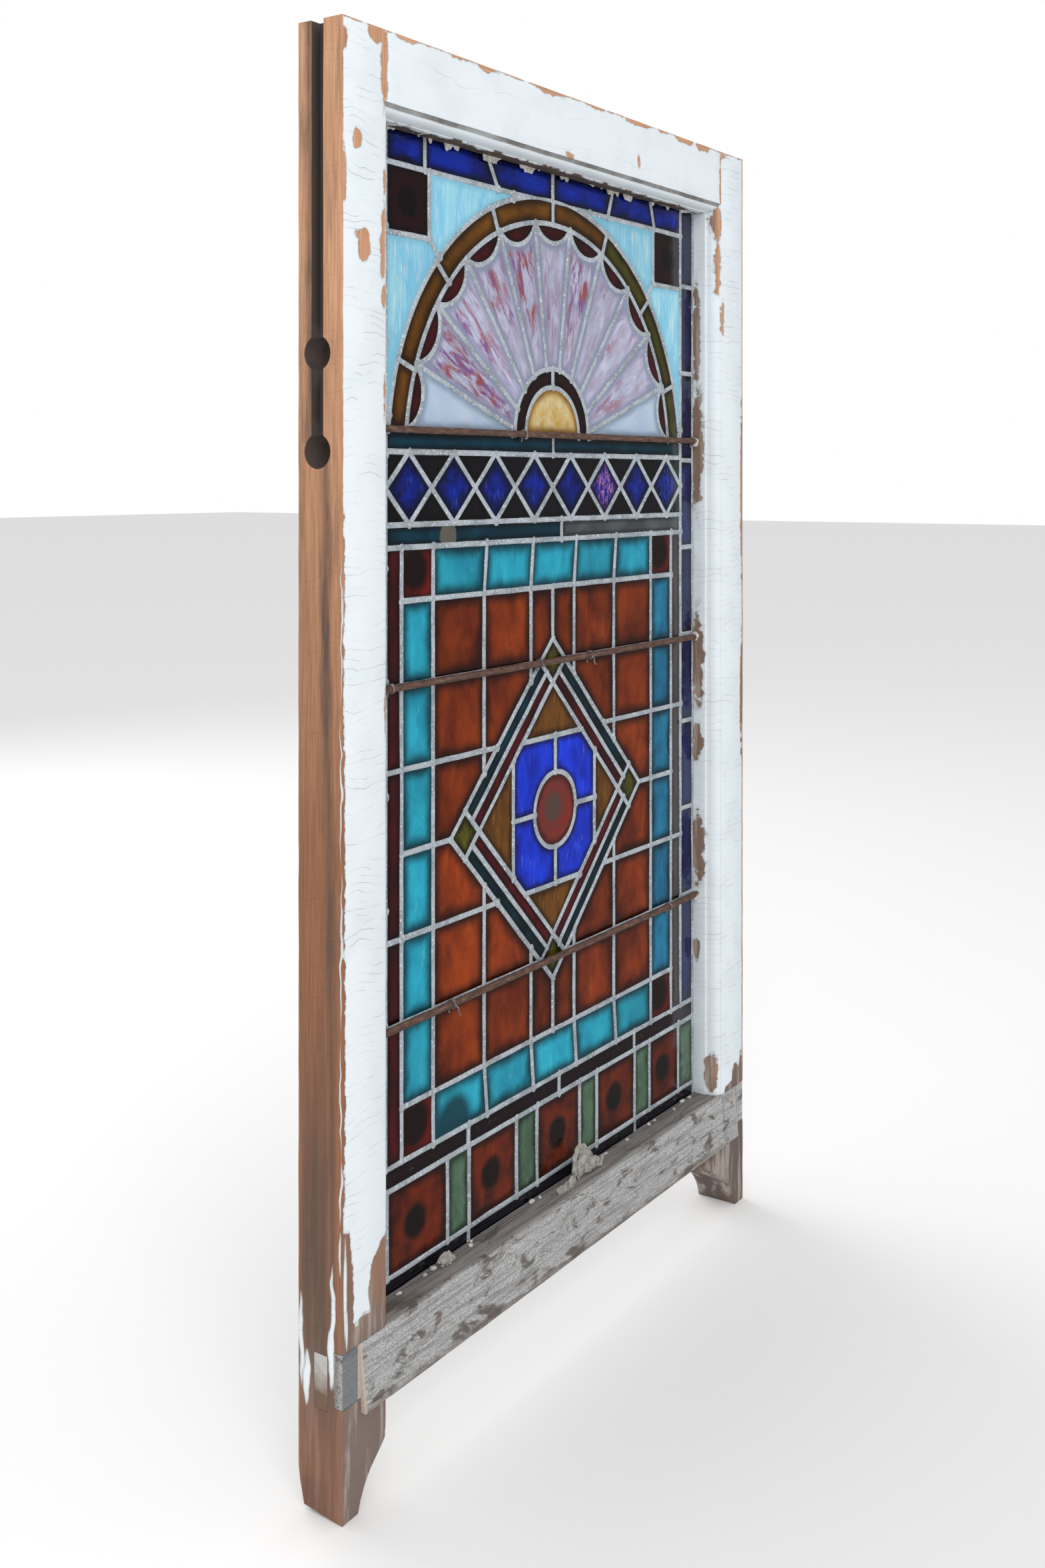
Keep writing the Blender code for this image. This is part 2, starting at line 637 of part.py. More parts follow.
def bottom_cells():
    """The maroon strip and the row of bullseye squares with green uprights between."""
    cells = []
    edges = row_edges(-PANEL_HALF, PANEL_HALF, MAROON_STRIP_JOINTS, PANEL_HALF)
    for left, right in zip(edges, edges[1:]):
        cells.append(("", partial(convex_cell, rectangle(left, BOTTOM_ROW_TOP, right, BLOCK_FOOT))))
    edges = row_edges(-PANEL_HALF, PANEL_HALF, BULLSEYE_JOINTS, PANEL_HALF)
    for index, (left, right) in enumerate(zip(edges, edges[1:])):
        name = f"bullseye_{index // 2 + 1}" if index % 2 else ""
        outline = rectangle(left, BOTTOM_ROW_FOOT, right, BOTTOM_ROW_TOP)
        cells.append((name, partial(convex_cell, outline)))
    return cells


GLASS_FINISH = {
    "sun_glass": "yellow_glass", "inner_arch": "maroon_glass", "petal": "lavender_glass",
    "spandrel": "sky_glass", "corner_square": "maroon_glass", "turquoise_top": "turquoise_glass",
    "lozenge_teal": "teal_glass", "lozenge_red": "red_glass", "lozenge_corner": "olive_glass",
    "amber": "amber_glass", "blue": "blue_glass", "roundel": "red_glass", "bullseye": "bullseye_glass",
}


# Solids

def flat_outline(name, loops, thickness, collection):
    """A flat plate from closed outlines in the curve's own plane; later ones are holes."""
    data = bpy.data.curves.new(name, "CURVE")
    data.dimensions = "2D"
    data.fill_mode = "BOTH"
    data.extrude = thickness / 2
    for loop in loops:
        spline = data.splines.new("POLY")
        spline.points.add(len(loop) - 1)
        for point, (x, y) in zip(spline.points, loop):
            point.co = (x, y, 0.0, 1.0)
        spline.use_cyclic_u = True
    obj = bpy.data.objects.new(name, data)
    collection.objects.link(obj)
    return obj


def to_mesh(obj):
    """Turns a flat plate into a welded mesh object of the same name and place."""
    bpy.context.view_layer.update()
    evaluated = obj.evaluated_get(bpy.context.evaluated_depsgraph_get())
    mesh = bpy.data.meshes.new_from_object(evaluated)
    shape = bmesh.new()
    shape.from_mesh(mesh)
    bmesh.ops.remove_doubles(shape, verts=shape.verts, dist=WELD)
    bmesh.ops.dissolve_limit(shape, angle_limit=FLAT_ANGLE, verts=shape.verts, edges=shape.edges)
    bmesh.ops.recalc_face_normals(shape, faces=shape.faces)
    shape.to_mesh(mesh)
    shape.free()
    name, place, collection = obj.name, obj.matrix_world.copy(), obj.users_collection[0]
    bpy.data.objects.remove(obj, do_unlink=True)
    made = bpy.data.objects.new(name, mesh)
    made.matrix_world = place
    collection.objects.link(made)
    return made


def face_plate(name, loops, front, back, collection=WINDOW):
    """A plate drawn across and up, between two depths from the room side's face."""
    obj = flat_outline(name, loops, back - front, collection)
    obj.rotation_euler = (math.pi / 2, 0.0, 0.0)
    obj.location = (0.0, depth((front + back) / 2), -MOUNT_HEIGHT)
    return obj


def across_prism(name, section, left, right, collection=CUTTERS):
    """A bar along X from a section of depths from the front and heights."""
    loop = [(depth(y), z) for y, z in section]
    obj = flat_outline(name, [loop], right - left, collection)
    obj.rotation_euler = (math.pi / 2, 0.0, math.pi / 2)
    obj.location = ((left + right) / 2, 0.0, -MOUNT_HEIGHT)
    return obj


def as_cutter(obj):
    """Marks an object as a tool that isn't part of the window."""
    obj.hide_render = True
    obj.display_type = "WIRE"
    return obj


def box_cutter(name, low, high):
    """A box between two corners, each X, depth from the front and height."""
    mesh = bpy.data.meshes.new(name)
    shape = bmesh.new()
    bmesh.ops.create_cube(shape, size=1.0)
    size = [b - a for a, b in zip(low, high)]
    bmesh.ops.scale(shape, vec=Vector(size), verts=shape.verts)
    shape.to_mesh(mesh)
    shape.free()
    obj = bpy.data.objects.new(name, mesh)
    CUTTERS.objects.link(obj)
    middle = [(a + b) / 2 for a, b in zip(low, high)]
    obj.location = (middle[0], depth(middle[1]), middle[2] - MOUNT_HEIGHT)
    return as_cutter(obj)


def rod(name, radius, left, right, from_front, height, sides, collection):
    """A round rod along X between two ends."""
    mesh = bpy.data.meshes.new(name)
    shape = bmesh.new()
    bmesh.ops.create_cone(shape, cap_ends=True, segments=sides, radius1=radius, radius2=radius,
                          depth=right - left)
    shape.to_mesh(mesh)
    shape.free()
    mesh.shade_smooth()
    mesh.set_sharp_from_angle(angle=math.radians(40))
    obj = bpy.data.objects.new(name, mesh)
    collection.objects.link(obj)
    obj.rotation_euler = (0.0, math.pi / 2, 0.0)
    obj.location = ((left + right) / 2, depth(from_front), height - MOUNT_HEIGHT)
    return obj


def combine(target, tool, operation):
    """Adds a Boolean of the tool to the target."""
    modifier = target.modifiers.new(tool.name, "BOOLEAN")
    modifier.operation = operation
    modifier.solver = "EXACT"
    modifier.object = tool


def moulded_edge():
    """The moulded room-side edge: distances past the face and depths, down to the rebate."""
    top = MOULDING_QUIRK
    flat = MOULDING_QUIRK
    across = MOULDING_WIDTH - flat
    drop = MOULDING_DEPTH - top - flat / 2
    points = [(0.0, 0.0), (0.0, top)]
    for step in range(MOULDING_STEPS + 1):
        turn = math.pi / 2 * step / MOULDING_STEPS
        points.append((flat / 2 + (across - flat / 2) * math.sin(turn), top + drop * (1 - math.cos(turn))))
    points.append((MOULDING_WIDTH, MOULDING_DEPTH))
    points.append((MOULDING_WIDTH, REBATE_FROM_FRONT))
    points.append((0.0, REBATE_FROM_FRONT))
    return points


def horn_outline():
    """The stile's inner lower edge from the meeting rail down, from the outer edge."""
    start = Vector((HORN_WIDTH, HORN_LENGTH - HORN_STRAIGHT, 0.0))
    end = Vector((HORN_TIP_WIDTH, -CUT_MARGIN / 4, 0.0))
    first = Vector((start.x, start.y * 0.65, 0.0))
    second = Vector((end.x + (start.x - end.x) * 0.25, start.y * 0.65, 0.0))
    curve = interpolate_bezier(start, first, second, end, 11)
    return [(point.x, point.y) for point in curve]


def make_stile(name, side):
    """A stile with its moulding, horn, joints, sash-cord groove and knot holes."""
    def at(across):
        return side * (HALF_WIDTH - across)

    section = [(0.0, 0.0)] + [(STILE_FACE + a, y) for a, y in moulded_edge()]
    section += [(STILE_FACE, SASH_THICKNESS), (0.0, SASH_THICKNESS)]
    loop = [(at(a), depth(y)) for a, y in section]
    stile = flat_outline(name, [loop], SASH_HEIGHT, WINDOW)
    stile.location = (0.0, 0.0, SASH_HEIGHT / 2 - MOUNT_HEIGHT)
    stile = to_mesh(stile)

    far = STILE_FACE + MOULDING_WIDTH + CUT_MARGIN
    cope = [(STILE_FACE, RAIL_FACE_FOOT), (STILE_FACE, SASH_HEIGHT + CUT_MARGIN),
            (far, SASH_HEIGHT + CUT_MARGIN), (far, RAIL_FACE_FOOT - (far - STILE_FACE))]
    foot = [(far, MEETING_RAIL_TOP + FIT_GAP), (STILE_FACE, MEETING_RAIL_TOP + FIT_GAP),
            (STILE_FACE, HORN_LENGTH - FIT_GAP), (HORN_WIDTH, HORN_LENGTH - FIT_GAP)]
    foot += horn_outline() + [(HORN_TIP_WIDTH, -CUT_MARGIN), (far, -CUT_MARGIN)]
    for label, outline in (("cope", cope), ("horn", foot)):
        tool = face_plate(f"{name}_{label}", [[(at(a), z) for a, z in outline]],
                          -CUT_MARGIN, SASH_THICKNESS + CUT_MARGIN, CUTTERS)
        combine(stile, as_cutter(to_mesh(tool)), "DIFFERENCE")

    def pocket(label, across, from_front, height):
        low = (min(at(across[0]), at(across[1])), from_front[0], height[0])
        high = (max(at(across[0]), at(across[1])), from_front[1], height[1])
        combine(stile, box_cutter(f"{name}_{label}", low, high), "DIFFERENCE")

    lap_foot, lap_top = lap_levels()
    pocket("lap", (-CUT_MARGIN, far), (-CUT_MARGIN, LAP_DEPTH + FIT_GAP),
           (lap_foot - FIT_GAP, lap_top + FIT_GAP))
    tenon = (TENON_FROM_FRONT - FIT_GAP, TENON_FROM_FRONT + TENON_THICKNESS + FIT_GAP)
    low, high = tenon_levels(HORN_LENGTH, MEETING_RAIL_TOP)
    pocket("through_mortise", (-CUT_MARGIN, far), tenon, (low - FIT_GAP, high + FIT_GAP))
    low, high = tenon_levels(RAIL_FACE_FOOT, SASH_HEIGHT)
    pocket("blind_mortise", (STILE_FACE - TENON_REACH - FIT_GAP, far), tenon,
           (low - FIT_GAP, high + FIT_GAP))
    groove = (GROOVE_FROM_FRONT - GROOVE_WIDTH / 2, GROOVE_FROM_FRONT + GROOVE_WIDTH / 2)
    holes = knot_hole_heights()
    pocket("groove", (-CUT_MARGIN, GROOVE_DEPTH), groove, (holes[1], SASH_HEIGHT + CUT_MARGIN))
    for label, height in zip(("upper_hole", "lower_hole"), holes):
        ends = sorted((at(-CUT_MARGIN), at(KNOT_HOLE_DEPTH)))
        tool = rod(f"{name}_{label}", KNOT_HOLE_DIAMETER / 2, *ends, GROOVE_FROM_FRONT, height, 24, CUTTERS)
        combine(stile, as_cutter(tool), "DIFFERENCE")
    for bar, height in BAR_HEIGHTS.items():
        ends = sorted((at(STILE_FACE + MOULDING_WIDTH - BAR_SEAT - FIT_GAP), at(far)))
        radius = BAR_DIAMETER / 2 + BAR_CLEARANCE
        tool = rod(f"{name}_{bar}_socket", radius, *ends, BAR_FROM_FRONT, height, 16, CUTTERS)
        combine(stile, as_cutter(tool), "DIFFERENCE")
    finish(stile, "painted_pine")
    return stile


def knot_hole_heights():
    """Heights of the upper and the lower knot hole."""
    upper = SASH_HEIGHT - UPPER_HOLE_FROM_TOP
    return upper, upper - HOLE_SPACING


def lap_levels():
    """Foot and top of the meeting rail's laps over the stiles."""
    top = MEETING_RAIL_TOP - FIT_GAP
    return top - LAP_HEIGHT, top


def tenon_levels(foot, top):
    """Foot and top of a tenon in the middle of a rail."""
    middle = (foot + top) / 2
    return middle - TENON_HEIGHT / 2, middle + TENON_HEIGHT / 2


def tenon_bar(name, foot, top, reach):
    """The two tenons of a rail as one bar that runs through it."""
    low, high = tenon_levels(foot, top)
    back = TENON_FROM_FRONT + TENON_THICKNESS
    return box_cutter(name, (-reach, TENON_FROM_FRONT, low), (reach, back, high))


def make_top_rail():
    """The top rail with its moulding coped to the stiles and blind tenons."""
    section = [(y, RAIL_FACE_FOOT - a) for a, y in moulded_edge()]
    section = [(0.0, SASH_HEIGHT)] + section
    section += [(SASH_THICKNESS, RAIL_FACE_FOOT), (SASH_THICKNESS, SASH_HEIGHT)]
    half = SHOULDER - FIT_GAP
    rail = to_mesh(across_prism("top_rail", section, -half, half, WINDOW))
    for side, word in ((-1, "left"), (1, "right")):
        reach = MOULDING_WIDTH + CUT_MARGIN
        end = half - FIT_GAP
        line = [(end + CUT_MARGIN, RAIL_FACE_FOOT + CUT_MARGIN), (end - reach, RAIL_FACE_FOOT - reach),
                (end + CUT_MARGIN, RAIL_FACE_FOOT - reach)]
        tool = face_plate(f"top_rail_mitre_{word}", [[(side * x, z) for x, z in line]],
                          -CUT_MARGIN, SASH_THICKNESS + CUT_MARGIN, CUTTERS)
        combine(rail, as_cutter(to_mesh(tool)), "DIFFERENCE")
    tenons = tenon_bar("top_rail_tenons", RAIL_FACE_FOOT, SASH_HEIGHT, SHOULDER + TENON_REACH)
    combine(rail, tenons, "UNION")
    finish(rail, "painted_pine")
    return rail


def make_meeting_rail():
    """The meeting rail: a sloped face lapped over the stiles, and through tenons."""
    top, foot = MEETING_RAIL_TOP, HORN_LENGTH
    slope = RAIL_PROJECTION
    rebate = top - MOULDING_WIDTH
    section = [(0.0, top), (-slope, foot), (SASH_THICKNESS, foot), (SASH_THICKNESS, rebate),
               (REBATE_FROM_FRONT, rebate), (REBATE_FROM_FRONT, top)]
    half = SHOULDER - FIT_GAP
    rail = to_mesh(across_prism("meeting_rail", section, -half, half, WINDOW))
    lap_foot, lap_top = lap_levels()
    inside = FIT_GAP / 2
    overhang = [(2 * inside, lap_top - inside), (2 * inside - slope, foot + inside), (-FIT_GAP, foot + inside),
                (-FIT_GAP, lap_foot + inside), (LAP_DEPTH / 2, lap_foot + inside),
                (LAP_DEPTH / 2, lap_top - inside)]
    reach = HALF_WIDTH - PROJECTION_INSET
    tool = as_cutter(to_mesh(across_prism("meeting_rail_overhang", overhang, -reach, reach)))
    combine(rail, tool, "UNION")
    lap = box_cutter("meeting_rail_laps", (-HALF_WIDTH, 3 * inside, lap_foot + 2 * inside),
                     (HALF_WIDTH, LAP_DEPTH, lap_top - 2 * inside))
    combine(rail, lap, "UNION")
    combine(rail, tenon_bar("meeting_rail_tenons", foot, top, HALF_WIDTH), "UNION")
    finish(rail, "weathered_pine")
    return rail


def make_bars():
    """The three round iron bars that stiffen the panel."""
    half = SHOULDER - MOULDING_WIDTH + BAR_SEAT
    for name, height in BAR_HEIGHTS.items():
        bar = rod(name, BAR_DIAMETER / 2, -half, half, BAR_FROM_FRONT, height, 16, WINDOW)
        finish(bar, "iron")


def make_lead_net(cells):
    """All the soldered leads as one plate with a hole for each piece of glass."""
    outer = rectangle(-PANEL_HALF, PANEL_FOOT, PANEL_HALF, PANEL_TOP)
    side = PANEL_HALF - EDGE_LEAD_SIDE
    end_top, end_foot = PANEL_TOP - EDGE_LEAD_END, PANEL_FOOT + EDGE_LEAD_END
    holes = []
    for _, outline in cells:
        hole = outline(HALF_LEAD)
        holes.append(inside_edge_lead(hole, side, end_foot, end_top))
    net = face_plate("lead_net", [outer] + holes, LEAD_FRONT, LEAD_FRONT + LEAD_DEPTH)
    finish(net, "lead")
    return net


def inside_edge_lead(hole, side, foot, top):
    """A border piece's hole, kept inside the wide leads around the panel."""
    if max(abs(x) for x, _ in hole) <= side and min(z for _, z in hole) >= foot \
            and max(z for _, z in hole) <= top:
        return hole
    for origin, normal in (((side, 0.0), (-1, 0)), ((-side, 0.0), (1, 0)),
                           ((0.0, foot), (0, 1)), ((0.0, top), (0, -1))):
        hole = clip(hole, origin, normal)
    return hole


def make_glass(cells):
    """The larger pieces of glass, each seated in its hole of the leads."""
    side = PANEL_HALF - EDGE_LEAD_SIDE - FIT_GAP
    front = LEAD_MIDDLE - GLASS_THICKNESS / 2
    for name, outline in cells:
        if not name:
            continue
        loop = inside_edge_lead(outline(HALF_LEAD + FIT_GAP), side, PANEL_FOOT, PANEL_TOP)
        pane = face_plate(name, [loop], front, front + GLASS_THICKNESS)
        kind = next(finish for start, finish in GLASS_FINISH.items() if name.startswith(start))
        finish(pane, kind)


def make_putty():
    """The sloped bead of putty that holds the panel in the rebate, at the back."""
    front = LEAD_FRONT + LEAD_DEPTH + FIT_GAP
    back = front + PUTTY_DEPTH
    half = SHOULDER - FIT_GAP
    top, foot = RAIL_FACE_FOOT - FIT_GAP, MEETING_RAIL_TOP - MOULDING_WIDTH + FIT_GAP
    bead = to_mesh(face_plate("glazing_putty", [rectangle(-half, foot, half, top)], front, back))
    tool = box_cutter("putty_opening", (-half, front - CUT_MARGIN, foot), (half, back + CUT_MARGIN, top))
    spread = (PUTTY_WIDTH - PUTTY_LIP) / PUTTY_DEPTH
    for vertex in tool.data.vertices:
        reach = PUTTY_WIDTH + CUT_MARGIN * spread if vertex.co.y < 0 else PUTTY_LIP - CUT_MARGIN * spread
        vertex.co.x -= math.copysign(reach, vertex.co.x)
        vertex.co.z -= math.copysign(reach, vertex.co.z)
    combine(bead, tool, "DIFFERENCE")
    finish(bead, "putty")
    return bead


def finish(obj, name):
    """Gives an object its material."""
    obj.data.materials.clear()
    obj.data.materials.append(material(name))


def build():
    """Makes every piece of the window."""
    make_stile("left_stile", -1)
    make_stile("right_stile", 1)
    make_top_rail()
    make_meeting_rail()
    make_bars()
    cells = border_cells() + lunette_cells() + diamond_cells()
    cells += frame_cells() + field_cells() + lozenge_cells() + bottom_cells()
    make_lead_net(cells)
    make_glass(cells)
    make_putty()


build()
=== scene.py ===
"""Looks of a leaded stained glass window in an old pine sash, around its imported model.

X runs across the window from its middle, Y through it with the back faces at 0, and Z up
from the mount on the top rail. Points of the flat design are (x, z) in metres, with z
counted from the foot of the horns. Depths are counted from the room side's face.
"""
from __future__ import annotations

import logging
import math
import random
from dataclasses import dataclass, replace
from enum import Enum
from typing import Any, Iterable, Sequence

import bmesh
import bpy
from mathutils import Matrix, Vector, noise

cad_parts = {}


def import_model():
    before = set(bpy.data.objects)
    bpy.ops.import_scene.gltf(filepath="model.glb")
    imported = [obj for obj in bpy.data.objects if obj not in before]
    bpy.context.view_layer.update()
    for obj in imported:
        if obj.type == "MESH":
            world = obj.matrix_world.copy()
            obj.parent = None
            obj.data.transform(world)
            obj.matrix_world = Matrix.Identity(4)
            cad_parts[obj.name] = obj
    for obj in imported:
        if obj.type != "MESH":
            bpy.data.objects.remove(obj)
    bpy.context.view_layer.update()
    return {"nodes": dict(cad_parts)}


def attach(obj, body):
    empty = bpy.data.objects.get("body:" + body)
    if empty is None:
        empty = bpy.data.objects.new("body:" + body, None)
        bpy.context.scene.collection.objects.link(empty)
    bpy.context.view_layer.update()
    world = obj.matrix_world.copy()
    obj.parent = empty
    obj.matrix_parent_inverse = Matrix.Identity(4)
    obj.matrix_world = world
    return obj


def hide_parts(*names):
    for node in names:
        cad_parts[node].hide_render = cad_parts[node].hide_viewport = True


LOG = logging.getLogger("stained_glass_window")
Point = tuple[float, float]
Line = tuple[Point, Point]
MM = 0.001
WELD = 1e-6
NOISE_SEED = 1


# Geometry of the flat design

def arc(centre: Point, radius: float, start: float, end: float, step: float = 4 * MM) -> list[Point]:
    """Gives the points of an arc, ends included.

    Args:
        centre: Middle of the circle.
        radius: Its radius.
        start: First angle, in radians.
        end: Last angle.
        step: Longest distance between two points.

    Returns:
        Points from the first angle to the last.
    """
    count = max(2, math.ceil(abs(end - start) * radius / step))
    turns = [start + (end - start) * i / count for i in range(count + 1)]
    return [(centre[0] + radius * math.cos(a), centre[1] + radius * math.sin(a)) for a in turns]


def angle_at(centre: Point, point: Point) -> float:
    """Angle of a point seen from a centre."""
    return math.atan2(point[1] - centre[1], point[0] - centre[0])


def ray(origin: Point, angle: float) -> Line:
    """A line as its origin and unit direction."""
    return origin, (math.cos(angle), math.sin(angle))


def on_circle(line: Line, centre: Point, radius: float, far: bool = True) -> Point:
    """Finds where a line meets a circle.

    Args:
        line: Origin and unit direction.
        centre: Middle of the circle.
        radius: Its radius.
        far: Whether the meeting further along the line is wanted.

    Returns:
        The meeting point.
    """
    (x, z), (dx, dz) = line
    along = (centre[0] - x) * dx + (centre[1] - z) * dz
    miss = (centre[0] - x) * dz - (centre[1] - z) * dx
    half = math.sqrt(radius * radius - miss * miss)
    reach = along + half if far else along - half
    return x + dx * reach, z + dz * reach


def clip(points: Sequence[Point], origin: Point, normal: Point) -> list[Point]:
    """Keeps the part of a convex outline on one side of a line.

    Args:
        points: The outline.
        origin: A point of the line.
        normal: Points to the side that is kept.

    Returns:
        The outline that is left.
    """
    kept: list[Point] = []
    for here, after in zip(points, list(points[1:]) + [points[0]]):
        a = (here[0] - origin[0]) * normal[0] + (here[1] - origin[1]) * normal[1]
        b = (after[0] - origin[0]) * normal[0] + (after[1] - origin[1]) * normal[1]
        if a >= 0:
            kept.append(here)
        if (a > 0 > b) or (a < 0 < b):
            share = a / (a - b)
            kept.append((here[0] + (after[0] - here[0]) * share, here[1] + (after[1] - here[1]) * share))
    return kept


def area(points: Sequence[Point]) -> float:
    """Signed area of an outline, positive anticlockwise."""
    pairs = zip(points, list(points[1:]) + [points[0]])
    return sum(a[0] * b[1] - b[0] * a[1] for a, b in pairs) / 2


def perimeter(points: Sequence[Point]) -> float:
    """Length of an outline."""
    return sum(math.dist(a, b) for a, b in zip(points, list(points[1:]) + [points[0]]))


def sharp_points(points: Sequence[Point], least: float = math.radians(24)) -> list[Point]:
    """Corners of an outline.

    Args:
        points: The outline.
        least: Smallest turn that counts as a corner.

    Returns:
        The corner points.
    """
    found = []
    for before, here, after in zip([points[-1]] + list(points[:-1]), points, list(points[1:]) + [points[0]]):
        turn = angle_at(before, here) - angle_at(here, after)
        if abs((turn + math.pi) % math.tau - math.pi) > least:
            found.append(here)
    return found


def distance_to(point: Point, points: Sequence[Point]) -> float:
    """Distance of a point from an outline."""
    best = math.inf
    for a, b in zip(points, list(points[1:]) + [points[0]]):
        along = (b[0] - a[0], b[1] - a[1])
        length = along[0] ** 2 + along[1] ** 2
        share = ((point[0] - a[0]) * along[0] + (point[1] - a[1]) * along[1]) / length
        share = min(1.0, max(0.0, share))
        best = min(best, math.dist(point, (a[0] + along[0] * share, a[1] + along[1] * share)))
    return best


def middle_of(points: Sequence[Point]) -> Point:
    """Middle of an outline's bounding box."""
    xs, zs = [p[0] for p in points], [p[1] for p in points]
    return (min(xs) + max(xs)) / 2, (min(zs) + max(zs)) / 2


def rectangle(left: float, foot: float, right: float, top: float) -> list[Point]:
    """Corners of an upright rectangle."""
    return [(left, foot), (right, foot), (right, top), (left, top)]


def linear(code: str) -> tuple[float, float, float, float]:
    """Linear colour of an sRGB hex value."""
    parts = [int(code[i:i + 2], 16) / 255 for i in (1, 3, 5)]
    red, green, blue = (c / 12.92 if c <= 0.04045 else ((c + 0.055) / 1.055) ** 2.4 for c in parts)
    return red, green, blue, 1.0


# Materials

@dataclass
class Recipe:
    """A node tree of a material, or of the world, while it is being mixed."""

    name: str
    world: bool = False

    def __post_init__(self) -> None:
        """Makes the empty material or world with its shader."""
        kinds = bpy.data.worlds if self.world else bpy.data.materials
        self.made = kinds.new(self.name)
        self.made.use_nodes = True
        self.tree = self.made.node_tree
        self.shader = self.tree.nodes["Background" if self.world else "Principled BSDF"]

    def add(self, kind: str, inputs: dict[Any, Any], out: Any = 0, **settings: Any) -> bpy.types.NodeSocket:
        """Adds a node with its settings and links.

        Args:
            kind: Name of the node's type, without its common start.
            inputs: Values or sockets for the node's inputs.
            out: The output that is wanted.
            **settings: Properties of the node.

        Returns:
            The output socket.
        """
        node = self.tree.nodes.new(f"ShaderNode{kind}")
        for key, value in settings.items():
            setattr(node, key, value)
        for key, value in inputs.items():
            self.connect(node.inputs[key], value)
        return node.outputs[out]

    def connect(self, socket: bpy.types.NodeSocket, value: Any) -> None:
        """Links a socket or sets its value."""
        if isinstance(value, bpy.types.NodeSocket):
            self.tree.links.new(value, socket)
        else:
            socket.default_value = value

    def figure(self, place: Any, sizes: Sequence[float], detail: float, seed: Any = None,
               **inputs: float) -> bpy.types.NodeSocket:
        """Adds noise whose waves are longer along one axis than along another.

        Args:
            place: The position.
            sizes: Length of a wave along each axis.
            detail: Octaves of the noise.
            seed: A number that gives every piece waves of its own.
            **inputs: More of the noise's inputs.

        Returns:
            Its socket.
        """
        stretched = self.add("VectorMath", {0: place, 1: tuple(sizes)}, operation="DIVIDE")
        own = {} if seed is None else {"W": seed}
        return self.add("TexNoise", {"Vector": stretched, "Scale": 1.0, "Detail": detail, **own, **inputs},
                        noise_dimensions="4D" if own else "3D")

    def away(self, value: Any, centre: Any) -> bpy.types.NodeSocket:
        """Distance of a value from a middle."""
        difference = self.add("Math", {0: value, 1: centre}, operation="SUBTRACT")
        return self.add("Math", {0: difference}, operation="ABSOLUTE")

    def mask(self, *ramps: Any) -> Any:
        """Multiplies ramps into one share.

        Args:
            *ramps: For each a value, where its ramp starts and ends and, unless they are 0 and 1,
                what it gives there. A socket alone is a factor as it is.

        Returns:
            The share's socket.
        """
        share = None
        for ramp in ramps:
            factor = self.add("MapRange", dict(enumerate(ramp))) if isinstance(ramp, tuple) else ramp
            share = factor if share is None else \
                self.add("Math", {0: share, 1: factor}, operation="MULTIPLY")
        return share

    def wash(self, under: Any, over: Any, *ramps: Any) -> bpy.types.NodeSocket:
        """Lays one colour over another where a mask says.

        Args:
            under: Hex value or socket of the colour below.
            over: Hex value or socket of the colour on top.
            *ramps: The mask's ramps.

        Returns:
            The colour's socket.
        """
        colours = [linear(colour) if isinstance(colour, str) else colour for colour in (under, over)]
        return self.add("MixRGB", {0: self.mask(*ramps), 1: colours[0], 2: colours[1]})

    def in_millimetres(self, sash: SashSizes) -> tuple[Any, Any, Any, Any]:
        """Position on the sash in millimetres from its left edge, the room side and the horns' foot.

        Args:
            sash: Sizes of the sash.

        Returns:
            Sockets of the position, its X, its depth and its height.
        """
        place = self.add("TexCoord", {}, out="Object")
        origin = (sash.width / 2 / MM, sash.thickness / MM, sash.mount_height / MM)
        place = self.add("VectorMath", {0: place, 1: (1 / MM,) * 3, 2: origin}, operation="MULTIPLY_ADD")
        x, depth, height = (self.add("SeparateXYZ", {0: place}, out=axis) for axis in "XYZ")
        return place, x, depth, height

    def surface(self, **sockets: Any) -> bpy.types.Material | bpy.types.World:
        """Fills the shader's sockets, their names written with underscores.

        Args:
            **sockets: Values or sockets.

        Returns:
            The finished material or world.
        """
        for key, value in sockets.items():
            self.connect(self.shader.inputs[key.replace("_", " ")], value)
        return self.made


